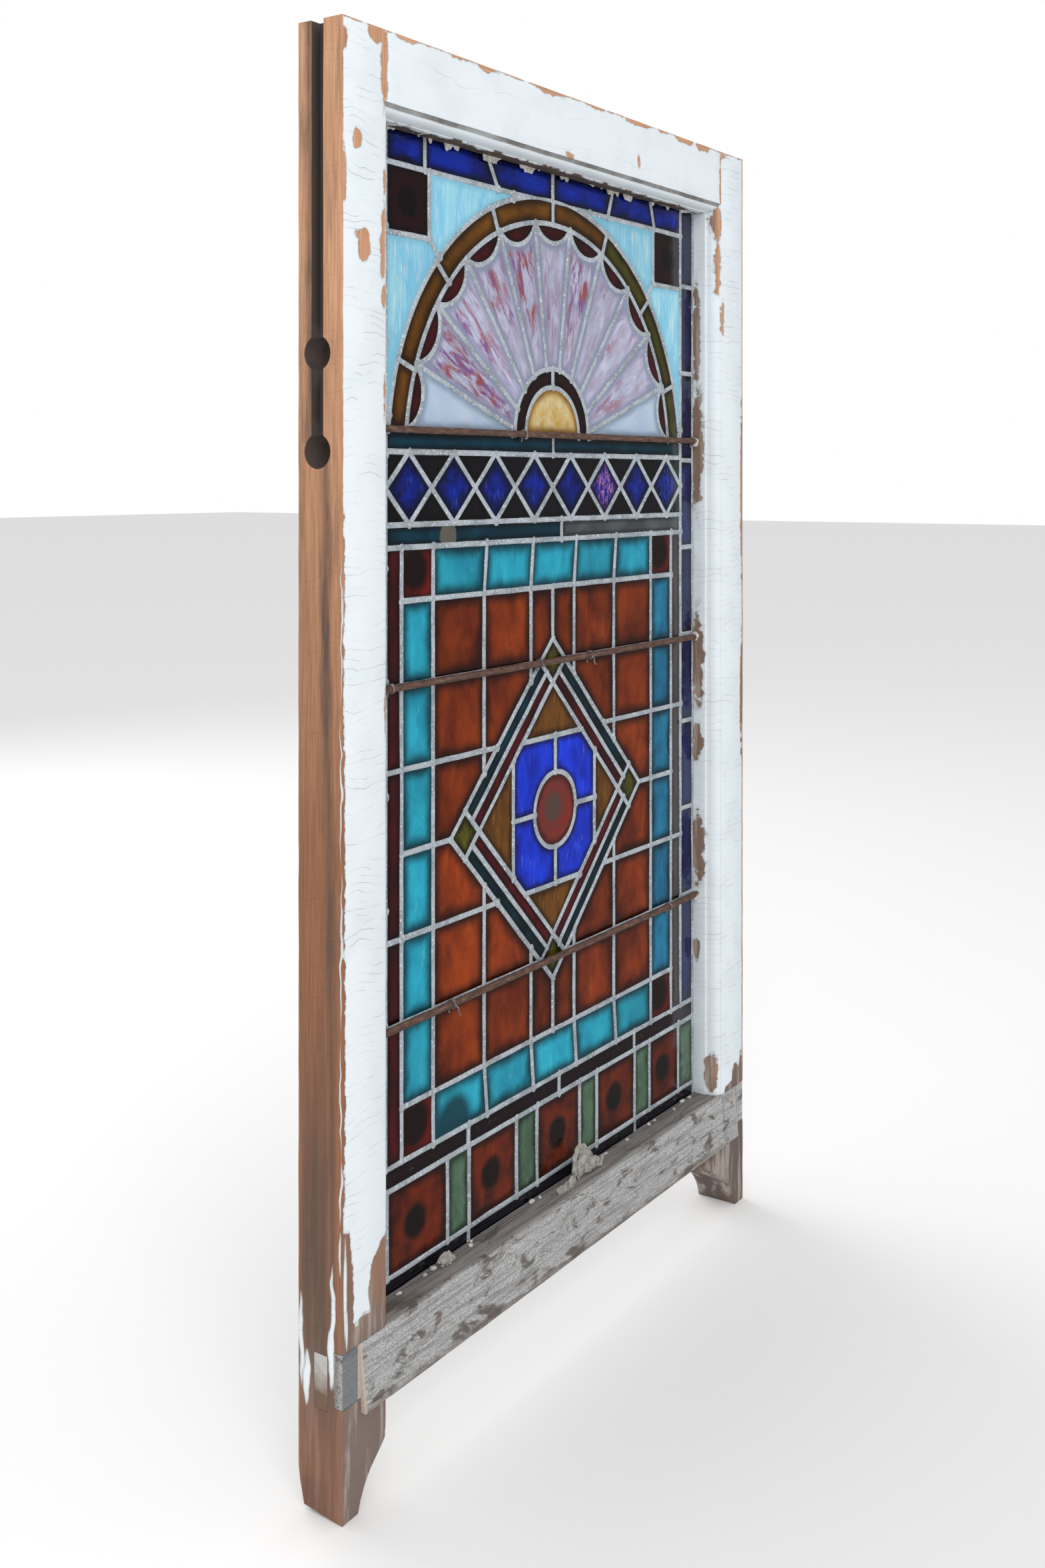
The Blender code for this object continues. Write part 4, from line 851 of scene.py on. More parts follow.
    def diamond_band(self) -> list[Pane]:
        """The row of diamonds with its triangles, and the strips over and under it."""
        middle = (self.diamond_top + self.diamond_foot) / 2
        pitch = 2 * self.border_x / self.diamonds
        made = []
        for index in range(self.diamonds):
            left = -self.border_x + index * pitch
            centre, right = left + pitch / 2, left + pitch
            outline = [(left, middle), (centre, self.diamond_foot), (right, middle),
                       (centre, self.diamond_top)]
            kind = Glass.PINK_DIAMOND if index == self.sparkling_diamond else Glass.DIAMOND
            made.append(Pane(kind, outline))
            for level in (self.diamond_foot, self.diamond_top):
                start = max(left - pitch / 2, -self.border_x)
                made.append(Pane(Glass.TRIANGLE, [(start, level), (centre, level), (left, middle)]))
        for level in (self.diamond_foot, self.diamond_top):
            outline = [(self.border_x - pitch / 2, level), (self.border_x, level), (self.border_x, middle)]
            made.append(Pane(Glass.TRIANGLE, outline))
        joint = self.lower_strip_joint * self.border_x
        for left, right, foot, top, kind in (
                (-self.border_x, 0.0, self.diamond_top, self.lunette_base, Glass.TEAL),
                (0.0, self.border_x, self.diamond_top, self.lunette_base, Glass.TEAL),
                (-self.border_x, joint, self.block_top, self.diamond_foot, Glass.MENDED_TEAL),
                (joint, self.border_x, self.block_top, self.diamond_foot, Glass.GREY)):
            made.append(Pane(kind, rectangle(left, foot, right, top), grain=math.pi / 2))
        return made

    def row_level(self, index: int) -> float:
        """Height of a lead across the field, counted from the top."""
        return self.field_top - index * self.row_height

    def column_edges(self) -> list[float]:
        """X of the leads between the field's columns."""
        return [-self.field_x + index * self.column_width for index in range(self.columns + 1)]

    def block_frame(self) -> list[Pane]:
        """The turquoise frame, its dark corners and the maroon columns beside it."""
        made = []
        edges = self.column_edges()
        for index, (left, right) in enumerate(zip(edges, edges[1:])):
            lean = [x + (self.joint_lean if abs(x) < self.field_x - WELD else 0.0) for x in (left, right)]
            upper = [(left, self.field_top), (right, self.field_top), (lean[1], self.block_top),
                     (lean[0], self.block_top)]
            lower = [(lean[0], self.block_foot), (lean[1], self.block_foot), (right, self.field_foot),
                     (left, self.field_foot)]
            made.append(Pane(Glass.TURQUOISE, upper, f"turquoise_top_{index + 1}"))
            kind = Glass.TURQUOISE if index else Glass.STAINED_TURQUOISE
            made.append(Pane(kind, lower, tone=-0.6 if index == self.columns - 1 else 0.0))
        for side in (-1, 1):
            kind = Glass.TURQUOISE if side < 0 else Glass.DEEP_TURQUOISE
            for index in range(self.rows):
                outline = rectangle(side * self.field_x, self.row_level(index + 1), side * self.turquoise_x,
                                    self.row_level(index))
                made.append(Pane(kind, outline))
            for foot, top in ((self.field_top, self.block_top), (self.block_foot, self.field_foot)):
                outline = rectangle(side * self.field_x, foot, side * self.turquoise_x, top)
                made.append(Pane(Glass.BLOCK_CORNER, outline))
            levels = [self.row_level(index) for index in self.maroon_joint_rows]
            levels = [self.block_top] + levels + [self.block_foot]
            kind = Glass.MAROON if side < 0 else Glass.BROWN
            for top, foot in zip(levels, levels[1:]):
                made.append(Pane(kind, rectangle(side * self.turquoise_x, foot, side * self.border_x, top)))
        return made

    def field(self) -> list[Pane]:
        """The rust-red tiles around the lozenge."""
        made = []
        edges = sorted(self.column_edges() + [0.0])
        x, z = self.lozenge_centre
        for left, right in zip(edges, edges[1:]):
            side = 1 if left + right > 0 else -1
            for index in range(self.rows):
                top, foot = self.row_level(index), self.row_level(index + 1)
                up = 1 if (top + foot) / 2 > z else -1
                tile = clip(rectangle(left, foot, right, top), (x + side * self.lozenge_half, z), (side, up))
                if len(tile) > 2 and abs(area(tile)) > perimeter(tile) * self.lead_width / 4:
                    narrow = right - left < self.column_width * 0.75
                    made.append(Pane(Glass.RUST, tile, tone=-1.0 if narrow else -0.5 if side > 0 else 0.0))
        return made

    def turned(self, points: Sequence[Point]) -> list[Point]:
        """Points of a square turned by an eighth about the lozenge's centre."""
        half = math.sqrt(0.5)
        x, z = self.lozenge_centre
        return [(x + (p - q) * half, z + (p + q) * half) for p, q in points]

    def quadrant(self, side: int, up: int, edge: Point, centre: Point, inner: float) -> list[Point]:
        """Outline of a quarter of the blue block, cut by the lozenge and the roundel.

        Args:
            side: 1 on the right, -1 on the left.
            up: 1 for an upper quarter, -1 for a lower one.
            edge: The block's own corner.
            centre: Middle of the roundel.
            inner: Half the diagonal of the lozenge's inside.

        Returns:
            The outline.
        """
        origin = (self.lozenge_centre[0] + side * inner, self.lozenge_centre[1])
        corners = clip(rectangle(*centre, *edge), origin, (-side, -up))
        corners = [p for p in corners if math.dist(p, centre) > WELD]
        corners.sort(key=lambda p: math.atan2(up * (p[1] - centre[1]), side * (p[0] - centre[0])))
        round_edge = arc((0.0, 0.0), self.roundel_radius, math.pi / 2, 0.0)
        return corners + [(centre[0] + side * p[0], centre[1] + up * p[1]) for p in round_edge]

    def lozenge(self) -> list[Pane]:
        """The lozenge's double band and corners, and the block and roundel inside."""
        made = []
        outer = self.lozenge_half * math.sqrt(0.5)
        middle, inner = outer - self.lozenge_strip, outer - self.lozenge_band
        sides = (("upper_right", 1, 0), ("upper_left", 0, 1), ("lower_left", -1, 0), ("lower_right", 0, -1))
        for name, p, q in sides:
            grain = -math.pi / 4 if p else math.pi / 4
            for strip, low, high, kind in (("teal", middle, outer, Glass.LOZENGE_TEAL),
                                           ("red", inner, middle, Glass.LOZENGE_RED)):
                box = rectangle(p * low, -inner, p * high, inner) if p else \
                    rectangle(-inner, q * low, inner, q * high)
                made.append(Pane(kind, self.turned(box), f"lozenge_{strip}_{name}", grain))
        for name, p, q in (("top", 1, 1), ("left", -1, 1), ("bottom", -1, -1), ("right", 1, -1)):
            box = rectangle(p * inner, q * inner, p * outer, q * outer)
            made.append(Pane(Glass.OLIVE, self.turned(box), f"lozenge_corner_{name}"))
        half = self.lozenge_half - self.lozenge_band * math.sqrt(2)
        x, z = self.lozenge_centre
        centre = (x + self.block_shift[0], z + self.block_shift[1])
        for name, side in (("left", -1), ("right", 1)):
            edge = centre[0] + side * self.block_half
            spread = half - abs(edge - x)
            outline = [(edge, z - spread), (edge, z + spread), (x + side * half, z)]
            made.append(Pane(Glass.AMBER, outline, f"amber_{name}"))
        for name, up in (("bottom", -1), ("top", 1)):
            edge = centre[1] + up * self.block_half
            spread = half - abs(edge - z)
            outline = [(x - spread, edge), (x + spread, edge), (x, z + up * half)]
            made.append(Pane(Glass.AMBER, outline, f"amber_{name}"))
        for name, side, up in (("upper_right", 1, 1), ("upper_left", -1, 1),
                               ("lower_left", -1, -1), ("lower_right", 1, -1)):
            edge = (centre[0] + side * self.block_half, centre[1] + up * self.block_half)
            outline = self.quadrant(side, up, edge, centre, half)
            made.append(Pane(Glass.MEDALLION, outline, f"blue_{name}"))
        made.append(Pane(Glass.ROUNDEL, arc(centre, self.roundel_radius, 0.0, math.tau)[:-1], "roundel"))
        return made

    def bottom_row(self) -> list[Pane]:
        """The maroon strip, and the bullseye squares with green uprights between."""
        made = [Pane(Glass.PURPLE, outline, grain=math.pi / 2)
                for outline in self.strip(self.maroon_joints, self.bottom_row_top, self.block_foot)]
        squares = self.strip(self.bullseye_joints, self.bottom_row_foot, self.bottom_row_top)
        for index, outline in enumerate(squares):
            if index % 2:
                made.append(Pane(Glass.BULLSEYE, outline, f"bullseye_{index // 2 + 1}"))
            else:
                made.append(Pane(Glass.SAGE, outline))
        return made


# Pieces

def new_piece(name: str, shape: bmesh.types.BMesh, material: bpy.types.Material,
              smooth_below: float = 35.0) -> bpy.types.Object:
    """Turns a shape into an object of the scene.

    Args:
        name: The piece's name.
        shape: Its shape in place, which is freed.
        material: Its finish.
        smooth_below: Edges sharper than this many degrees stay crisp.

    Returns:
        The object, at the origin.
    """
    mesh = bpy.data.meshes.new(name)
    shape.to_mesh(mesh)
    shape.free()
    mesh.shade_smooth()
    mesh.set_sharp_from_angle(angle=math.radians(smooth_below))
    mesh.materials.append(material)
    piece = bpy.data.objects.new(name, mesh)
    bpy.context.scene.collection.objects.link(piece)
    return piece


def fit(piece: bpy.types.Object, nodes: Iterable[str] = ()) -> None:
    """Hands a piece to the frame.

    Args:
        piece: The finished piece.
        nodes: CAD nodes that it stands for.
    """
    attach(piece, "root")
    nodes = list(nodes)
    if nodes:
        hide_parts(*nodes)
    LOG.info("%s: %d vertices, stands for %d nodes", piece.name, len(piece.data.vertices), len(nodes))


def shiver(place: Vector, size: float, reach: float) -> Vector:
    """A smooth random shift of a point.

    Args:
        place: The point.
        size: Length of a wave.
        reach: Greatest shift.

    Returns:
        The shift.
    """
    return noise.noise_vector(place / size) * reach


def append(shape: bmesh.types.BMesh, part: bmesh.types.BMesh) -> None:
    """Adds a small shape to a larger one, and frees it."""
    mesh = bpy.data.meshes.new("part")
    part.to_mesh(mesh)
    part.free()
    shape.from_mesh(mesh)
    bpy.data.meshes.remove(mesh)


def upright_face(sash: SashSizes, outline: Sequence[Point], depth: float) -> bmesh.types.BMesh:
    """Makes one upright face that looks at the room.

    Args:
        sash: Sizes of the sash.
        outline: Its points, in either order.
        depth: Its distance from the room side.

    Returns:
        The shape.
    """
    shape = bmesh.new()
    points = outline if area(outline) > 0 else outline[::-1]
    shape.faces.new([shape.verts.new(sash.place(x, depth, z)) for x, z in points])
    bmesh.ops.remove_doubles(shape, verts=shape.verts, dist=0.1 * MM)
    return shape


def slice_across(shape: bmesh.types.BMesh, place: Vector, normal: Vector) -> None:
    """Cuts new edges into a shape along a plane."""
    bmesh.ops.bisect_plane(shape, geom=shape.verts[:] + shape.edges[:] + shape.faces[:],
                           plane_co=place, plane_no=normal, dist=WELD)


def lump(shape: bmesh.types.BMesh, place: Vector, radius: float, stretch: Sequence[float], wave: float,
         reach: float, through: float = 1.0, rounds: int = 2) -> None:
    """Adds an uneven lump to a shape.

    Args:
        shape: The shape.
        place: Middle of the lump.
        radius: Its radius before it is stretched.
        stretch: Its stretch along the axes.
        wave: Length of a wave of its surface.
        reach: Greatest shift of its surface.
        through: Share of that shift along Y.
        rounds: How often its faces are divided.
    """
    verts = bmesh.ops.create_icosphere(shape, subdivisions=rounds, radius=radius)["verts"]
    bmesh.ops.scale(shape, vec=stretch, verts=verts)
    bmesh.ops.translate(shape, vec=place, verts=verts)
    for vert in verts:
        shift = shiver(vert.co, wave, reach)
        vert.co += Vector((shift.x, shift.y * through, shift.z))


@dataclass
class Glazing:
    """All the panes, one object for each kind of glass."""

    sash: SashSizes
    panes: list[Pane]
    lead_width: float
    tuck: float = 0.0004
    front: float = 0.0343
    thickness: float = 0.0032
    tilt: float = math.radians(0.35)
    grid: float = 0.0055
    wave: float = 0.035
    wave_height: float = 0.0003

    def pane(self, pane: Pane, draw: random.Random) -> bmesh.types.BMesh:
        """Makes one pane as a closed plate, slightly wavy.

        Args:
            pane: Its outline and kind.
            draw: Source of its chance tilt and tone.

        Returns:
            The shape, with the distance from its lead, its tone and seed on its vertices.
        """
        shape = upright_face(self.sash, pane.outline, self.front)
        edge, tone, seed = (shape.verts.layers.float.new(f"pane_{word}") for word in ("edge", "tone", "seed"))
        face, = shape.faces
        bmesh.ops.inset_region(shape, faces=[face], thickness=self.lead_width / 2 - self.tuck,
                               use_even_offset=True, use_boundary=True)
        kept = set(face.verts)
        bmesh.ops.delete(shape, geom=[v for v in shape.verts if v not in kept], context="VERTS")
        for axis, normal in ((0, Vector((1, 0, 0))), (2, Vector((0, 0, 1)))):
            ends = [vert.co[axis] for vert in shape.verts]
            for index in range(math.ceil(min(ends) / self.grid), math.floor(max(ends) / self.grid) + 1):
                slice_across(shape, normal * index * self.grid, normal)
        for vert in shape.verts:
            away = distance_to((vert.co.x, vert.co.z + self.sash.mount_height), pane.outline)
            vert[edge] = away - self.lead_width / 2
            vert.co.y += noise.noise(vert.co / self.wave) * self.wave_height
        bmesh.ops.solidify(shape, geom=shape.faces[:], thickness=self.thickness)
        bmesh.ops.recalc_face_normals(shape, faces=shape.faces)
        x, z = middle_of(pane.outline)
        middle = self.sash.place(x, self.front, z)
        turn = Matrix.Rotation(draw.uniform(-self.tilt, self.tilt), 3, "X")
        turn @= Matrix.Rotation(draw.uniform(-self.tilt, self.tilt), 3, "Z")
        bmesh.ops.rotate(shape, cent=middle, matrix=turn, verts=shape.verts)
        lightness = pane.tone + draw.uniform(-1, 1) * (1 - abs(pane.tone))
        number = draw.uniform(0, 50)
        local = shape.loops.layers.uv.new("pane")
        along = Vector((math.cos(pane.grain), math.sin(pane.grain)))
        for vert in shape.verts:
            vert[tone] = lightness
            vert[seed] = number
        for loop in (loop for face in shape.faces for loop in face.loops):
            away = Vector((loop.vert.co.x - middle.x, loop.vert.co.z - middle.z))
            loop[local].uv = (away.dot(along), away.x * -along.y + away.y * along.x)
        return shape

    def build(self) -> None:
        """Makes every kind's object."""
        draw = random.Random(7)
        for kind in Glass:
            chosen = [pane for pane in self.panes if pane.kind is kind]
            whole = bmesh.new()
            for pane in chosen:
                append(whole, self.pane(pane, draw))
            piece = new_piece(kind.value.name, whole, kind.value.dress())
            fit(piece, [pane.node for pane in chosen if pane.node])


@dataclass(frozen=True)
class LeadFinish:
    """Old extruded lead: dull grey oxide with bright flecks where it is rubbed."""

    name: str
    dull: str = "#BAC2C9"
    dark: str = "#8F989F"
    bright: str = "#E6EFF6"
    fleck_mm: float = 3.0
    fleck_start: float = 0.53
    cloud_mm: float = 26.0

    def dress(self) -> bpy.types.Material:
        """Mixes the lead.

        Returns:
            The material.
        """
        mix = Recipe(self.name)
        place = mix.add("TexCoord", {}, out="Object")
        wide = mix.add("TexNoise", {"Vector": place, "Scale": 1 / (self.cloud_mm * MM), "Detail": 3.0})
        fine = mix.add("TexNoise", {"Vector": place, "Scale": 1 / (self.fleck_mm * MM), "Detail": 4.0,
                                    "Roughness": 0.7})
        colour = mix.wash(self.dull, self.dark, (wide, 0.42, 0.62, 0.0, 0.75))
        worn = mix.mask((fine, self.fleck_start, self.fleck_start + 0.09, 0.0, 0.9))
        colour = mix.wash(colour, self.bright, worn)
        rough = mix.mask((worn, 0.0, 1.0, 0.62, 0.42))
        bump = mix.add("Bump", {"Strength": 0.8, "Distance": 0.25 * MM, "Height": fine})
        return mix.surface(Base_Color=colour, Metallic=0.2, Roughness=rough, Normal=bump)


@dataclass
class Leadwork:
    """The soldered leads around every pane."""

    sash: SashSizes
    plan: PanelPlan
    panes: list[Pane]
    front: float = 0.0333
    back: float = 0.0385
    dome: tuple[tuple[float, float], ...] = ((0.35, 0.00004), (0.30, 0.00022), (0.20, 0.00034),
                                             (0.15, 0.0005))
    step: float = 0.009
    wobble: float = 0.00035
    joint_radius: float = 0.0042
    joint_sink: float = 0.0004

    def half_came(self, outline: list[Point]) -> bmesh.types.BMesh:
        """Makes the domed half lead that runs around one pane.

        Args:
            outline: The pane's outline between the middles of its leads.

        Returns:
            A closed ring.
        """
        shape = upright_face(self.sash, outline, self.front)
        for edge in [e for e in shape.edges if e.calc_length() > 2 * self.step]:
            bmesh.ops.subdivide_edges(shape, edges=[edge], cuts=int(edge.calc_length() / self.step) - 1)
        face, = shape.faces
        for share, drop in self.dome:
            bmesh.ops.inset_region(shape, faces=[face], thickness=self.plan.lead_width / 2 * share,
                                   depth=-drop, use_even_offset=True, use_boundary=True)
        bmesh.ops.delete(shape, geom=[face], context="FACES_ONLY")
        rings = shape.faces[:]
        middle = self.sash.place(0.0, (self.front + self.back) / 2, 0.0)
        copy = bmesh.ops.duplicate(shape, geom=shape.verts[:] + shape.edges[:] + rings)["geom"]
        turned = [item for item in copy if isinstance(item, bmesh.types.BMVert)]
        bmesh.ops.scale(shape, vec=(1.0, -1.0, 1.0), verts=turned, space=Matrix.Translation(-middle))
        open_edges = [e for e in shape.edges if e.is_boundary and e.verts[0].co.y < middle.y]
        walls = bmesh.ops.extrude_edge_only(shape, edges=open_edges)["geom"]
        for vert in (item for item in walls if isinstance(item, bmesh.types.BMVert)):
            vert.co.y = 2 * middle.y - vert.co.y
        bmesh.ops.remove_doubles(shape, verts=shape.verts, dist=0.01 * MM)
        bmesh.ops.recalc_face_normals(shape, faces=shape.faces)
        for vert in shape.verts:
            shift = shiver(vert.co, 0.03, self.wobble)
            vert.co += Vector((shift.x, shift.y * 0.4, shift.z))
        return shape

    def edge_strips(self) -> bmesh.types.BMesh:
        """Makes the flat outer part of the wide leads around the panel."""
        shape = bmesh.new()
        plan = self.plan
        side = plan.plain_side
        boxes = ((-plan.half, plan.foot, -side, plan.top), (side, plan.foot, plan.half, plan.top),
                 (-side, plan.plain_top, side, plan.top), (-side, plan.foot, side, plan.plain_foot))
        for left, low, right, high in boxes:
            corner = self.sash.place(left, self.front, low)
            end = self.sash.place(right, self.back, high)
            cube = bmesh.ops.create_cube(shape, size=1.0)["verts"]
            bmesh.ops.scale(shape, vec=end - corner, verts=cube)
            bmesh.ops.translate(shape, vec=(corner + end) / 2, verts=cube)
        rims = [e for e in shape.edges if e.calc_face_angle() > 1]
        bmesh.ops.bevel(shape, geom=rims, offset=0.5 * MM, segments=2, profile=0.5, affect="EDGES",
                        material=-1)
        return shape

    def joints(self) -> list[Point]:
        """Finds where leads meet, once each."""
        found: list[Point] = []
        plan = self.plan
        for here in (point for pane in self.panes for point in sharp_points(pane.outline)):
            inside = abs(here[0]) < plan.half - plan.edge_lead_side and \
                plan.foot + plan.edge_lead_end < here[1] < plan.top - plan.edge_lead_end
            if inside and all(math.dist(here, other) > 1.3 * self.joint_radius for other in found):
                found.append(here)
        return found

    def solder(self) -> bmesh.types.BMesh:
        """Makes the flattened mounds of solder on the joints, front and back."""
        shape = bmesh.new()
        draw = random.Random(11)
        for x, z in self.joints():
            for depth in (self.front + self.joint_sink, self.back - self.joint_sink):
                size = draw.uniform(0.85, 1.15)
                lump(shape, self.sash.place(x, depth, z), self.joint_radius,
                     (size, 0.2, draw.uniform(0.85, 1.15) * size), 4 * MM, 0.9 * MM, through=0.15)
        return shape

    def build(self) -> None:
        """Makes the leads and their solder."""
        whole = self.edge_strips()
        for outline in self.plan.solid_corners():
            corner = upright_face(self.sash, outline, self.front)
            corner.normal_update()
            bmesh.ops.solidify(corner, geom=corner.faces[:], thickness=self.back - self.front)
            bmesh.ops.recalc_face_normals(corner, faces=corner.faces)
            append(whole, corner)
        for pane in self.panes:
            append(whole, self.half_came(pane.outline))
        fit(new_piece("leadwork", whole, LeadFinish("oxidised_lead").dress(), 50.0), ["lead_net"])
        finish = LeadFinish("dull_solder", dull="#B4BBC1", dark="#9AA2A8", bright="#DFE7ED", fleck_mm=4.0)
        fit(new_piece("solder_joints", self.solder(), finish.dress(), 80.0))


@dataclass(frozen=True)
class Patch:
    """A bare or painted place, in millimetres from the left edge, the horns' foot and the front."""

    x: float
    z: float
    half_width: float
    half_height: float
    depth: float = 0.0
    half_depth: float = 1000.0


class Grain(Enum):
    """Which way a timber's grain runs: sizes of its figure along X, Y and Z in millimetres."""

    UPRIGHT = (2.0, 2.0, 70.0)
    ACROSS = (70.0, 2.0, 2.0)


@dataclass(frozen=True)
class PaintedPine:
    """Old oil paint on pine: crazed across the grain and flaked to bare wood at its edges."""

    name: str
    grain: Grain
    patches: tuple[Patch, ...]
    drips: tuple[Patch, ...] = ()
    paint: str = "#EDF5FA"
    paint_shade: str = "#D3DCE2"
    crack: str = "#A39E98"
    pine: str = "#DCA884"
    pine_dark: str = "#B4835F"
    stain: str = "#665044"
    dull: str = "#9A6443"
    dull_dark: str = "#7E5038"
    weathered: str = "#7F7068"
    smear: str = "#B4AEA8"
    # Dark grey inside the cord channel and the knot holes: painted shade in these recesses.
    groove_and_hole_shade: str = "#45403E"
    front_foot: str = "#8A6650"
    # Dark brown for bare wood under the top rail's moulding: grime and painted shade.
    under_moulding_dirt_and_shade: str = "#54483F"
    dirty_edge: str = "#A79C90"
    # Dark lines in the moulding's quirk and creases: grime and painted shade.
    crease_dirt_and_shade: str = "#6B6762"
    groove_middle_mm: float = 29.2
    groove_rim_mm: float = 19.0
    groove_inner_mm: tuple[float, float] = (17.0, 18.5)
    # Depth, width and strength of each line of grime and painted shade in the moulding.
    crease_dirt_and_shade_lines: tuple[tuple[float, float, float], ...] = ((1.9, 0.9, 0.95), (9.5, 4.5, 0.16),
                                                          (14.6, 0.7, 0.5), (16.9, 0.5, 0.9))
    edge_steepness: float = 3.5
    sway_mm: float = 7.0
    # Strength of the grime and painted shade under and in the moulding; 0 leaves it out.
    dirt_and_shade: float = 0.0
    reveal_age: float = 0.75
    bare_arris_mm: float = 1.2
    paint_foot_mm: float = 170.0
    rag_mm: float = 5.0

    def dress(self) -> bpy.types.Material:
        """Mixes paint over wood, with the paint gone where the sash is bare.

        Returns:
            The material.
        """
        mix = Recipe(self.name)
        sash = SashSizes()
        place, x, depth, height = mix.in_millimetres(sash)
        from_middle = mix.away(x, sash.width / 2 / MM)
        from_edge = mix.add("Math", {0: sash.width / 2 / MM - self.bare_arris_mm, 1: from_middle},
                            operation="SUBTRACT")
        from_groove = mix.add("Math", {0: mix.away(depth, self.groove_middle_mm), 1: self.groove_rim_mm},
                              operation="SUBTRACT")
        beyond = mix.add("Math", {0: from_edge, 1: 30.0}, operation="SUBTRACT")
        from_groove = mix.add("Math", {0: from_groove, 1: beyond}, operation="MAXIMUM")
        bare = mix.add("Math", {0: from_edge, 1: self.edge_steepness}, operation="MULTIPLY")
        below_top = mix.add("Math", {0: sash.height / MM - 0.8, 1: height}, operation="SUBTRACT")
        above_foot = mix.add("Math", {0: height, 1: self.paint_foot_mm}, operation="SUBTRACT")
        above_foot = mix.add("Math", {0: above_foot, 1: 0.5}, operation="MULTIPLY")
        for other in [from_groove, below_top, above_foot] + [self.outside(mix, place, patch)
                                                             for patch in self.patches]:
            bare = mix.add("Math", {0: bare, 1: other}, operation="MINIMUM")
        rag = mix.add("TexNoise", {"Vector": place, "Scale": 1 / 13, "Detail": 6.0, "Roughness": 0.62})
        rag = mix.add("Math", {0: rag, 1: 2 * self.rag_mm, 2: -self.rag_mm}, operation="MULTIPLY_ADD")
        bare = mix.add("Math", {0: bare, 1: rag}, operation="ADD")
        sway = mix.add("TexNoise", {"Vector": place, "Scale": 1 / 24, "Detail": 1.0}, out="Color")
        sway = mix.add("VectorMath", {0: sway, 1: (0.0, self.sway_mm, 0.0), 2: (0.0, -self.sway_mm / 2, 0.0)},
                       operation="MULTIPLY_ADD")
        swayed = mix.add("VectorMath", {0: place, 1: sway})
        for patch in self.drips:
            inside = mix.add("Math", {0: self.outside(mix, swayed, patch), 1: -1.0}, operation="MULTIPLY")
            bare = mix.add("Math", {0: bare, 1: inside}, operation="MAXIMUM")
        painted = mix.mask((bare, -0.25, 0.25))
        wood = self.wood(mix, place, depth, height, from_middle)
        paint = self.paint_layer(mix, place, bare, depth)
        colour = mix.wash(wood[0], paint[0], painted)
        relief = mix.add("Math", {0: painted, 1: 0.9, 2: paint[1]}, operation="MULTIPLY_ADD")
        relief = mix.add("Math", {0: wood[1], 1: 0.35, 2: relief}, operation="MULTIPLY_ADD")
        rough = mix.mask((painted, 0.0, 1.0, 0.82, 0.5))
        bump = mix.add("Bump", {"Strength": 1.0, "Distance": 0.7 * MM, "Height": relief})
        return mix.surface(Base_Color=colour, Roughness=rough, Normal=bump)

    @staticmethod
    def outside(mix: Recipe, place: Any, patch: Patch) -> Any:
        """Distance from a patch, in millimetres and negative inside it.

        Args:
            mix: The recipe.
            place: Position in millimetres.
            patch: The patch.

        Returns:
            Its socket.
        """
        away = mix.add("VectorMath", {0: place, 1: (patch.x, patch.depth, patch.z)}, operation="SUBTRACT")
        sizes = (patch.half_width, patch.half_depth, patch.half_height)
        away = mix.add("VectorMath", {0: away, 1: sizes}, operation="DIVIDE")
        away = mix.add("VectorMath", {0: away}, out="Value", operation="LENGTH")
        return mix.add("Math", {0: away, 1: min(sizes), 2: -min(sizes)}, operation="MULTIPLY_ADD")

    def wood(self, mix: Recipe, place: Any, depth: Any, height: Any, from_middle: Any) -> tuple[Any, Any]:
        """Mixes the bare wood.

        Args:
            mix: The recipe.
            place: Position in millimetres.
            depth: Its depth from the room side.
            height: Its height over the horns' foot.
            from_middle: Its distance from the window's middle.

        Returns:
            Sockets of the colour and the relief.
        """
        figure = mix.figure(place, self.grain.value, 6.0, Roughness=0.72)
        cloud = mix.figure(place, (14.0, 14.0, 150.0), 5.0, Roughness=0.65)
        share = mix.mask((figure, 0.36, 0.66))
        on_edge = mix.mask((from_middle, 370.0, 372.0))
        colour = mix.wash(self.pine, self.pine_dark, share)
        dull = mix.wash(self.dull, self.dull_dark, share)
        colour = mix.wash(colour, dull, (height, 1080.0, 560.0, 0.0, 0.88), on_edge)
        colour = mix.wash(colour, self.stain, self.stains(mix, depth, height, cloud, on_edge))
        # Painted shade: darkens the recessed walls of the cord channel and the knot holes.
        colour = mix.wash(colour, self.groove_and_hole_shade, (from_middle, 384.4, 385.2, 0.93, 0.0),
                          (mix.away(depth, self.groove_middle_mm), *self.groove_inner_mm, 1.0, 0.0),
                          (from_middle, 338.0, 340.0))
        at_foot = mix.mask((height, 260.0, 300.0, 1.0, 0.0))
        colour = mix.wash(colour, self.front_foot, (depth, 1.2, 3.0, 0.75, 0.0), at_foot)
        # Grime and painted shade: bare wood from 3 mm behind the front, as on the moulding's underside, goes
        # dark brown.
        if self.dirt_and_shade:
            colour = mix.wash(colour, self.under_moulding_dirt_and_shade, (depth, 3.0, 12.0, 0.0, 0.95))
        aged = mix.mask((height, 145.0, 205.0, 0.92, 0.15), (from_middle, 383.0, 385.5, 1.0, 0.2), at_foot)
        reveal = mix.mask((from_middle, 320.0, 323.0, self.reveal_age, 0.0))
        aged = mix.add("Math", {0: aged, 1: reveal}, operation="MAXIMUM")
        grey = mix.wash(self.weathered, self.smear, (cloud, 0.50, 0.40, 0.0, 0.75))
        return mix.wash(colour, grey, aged), figure

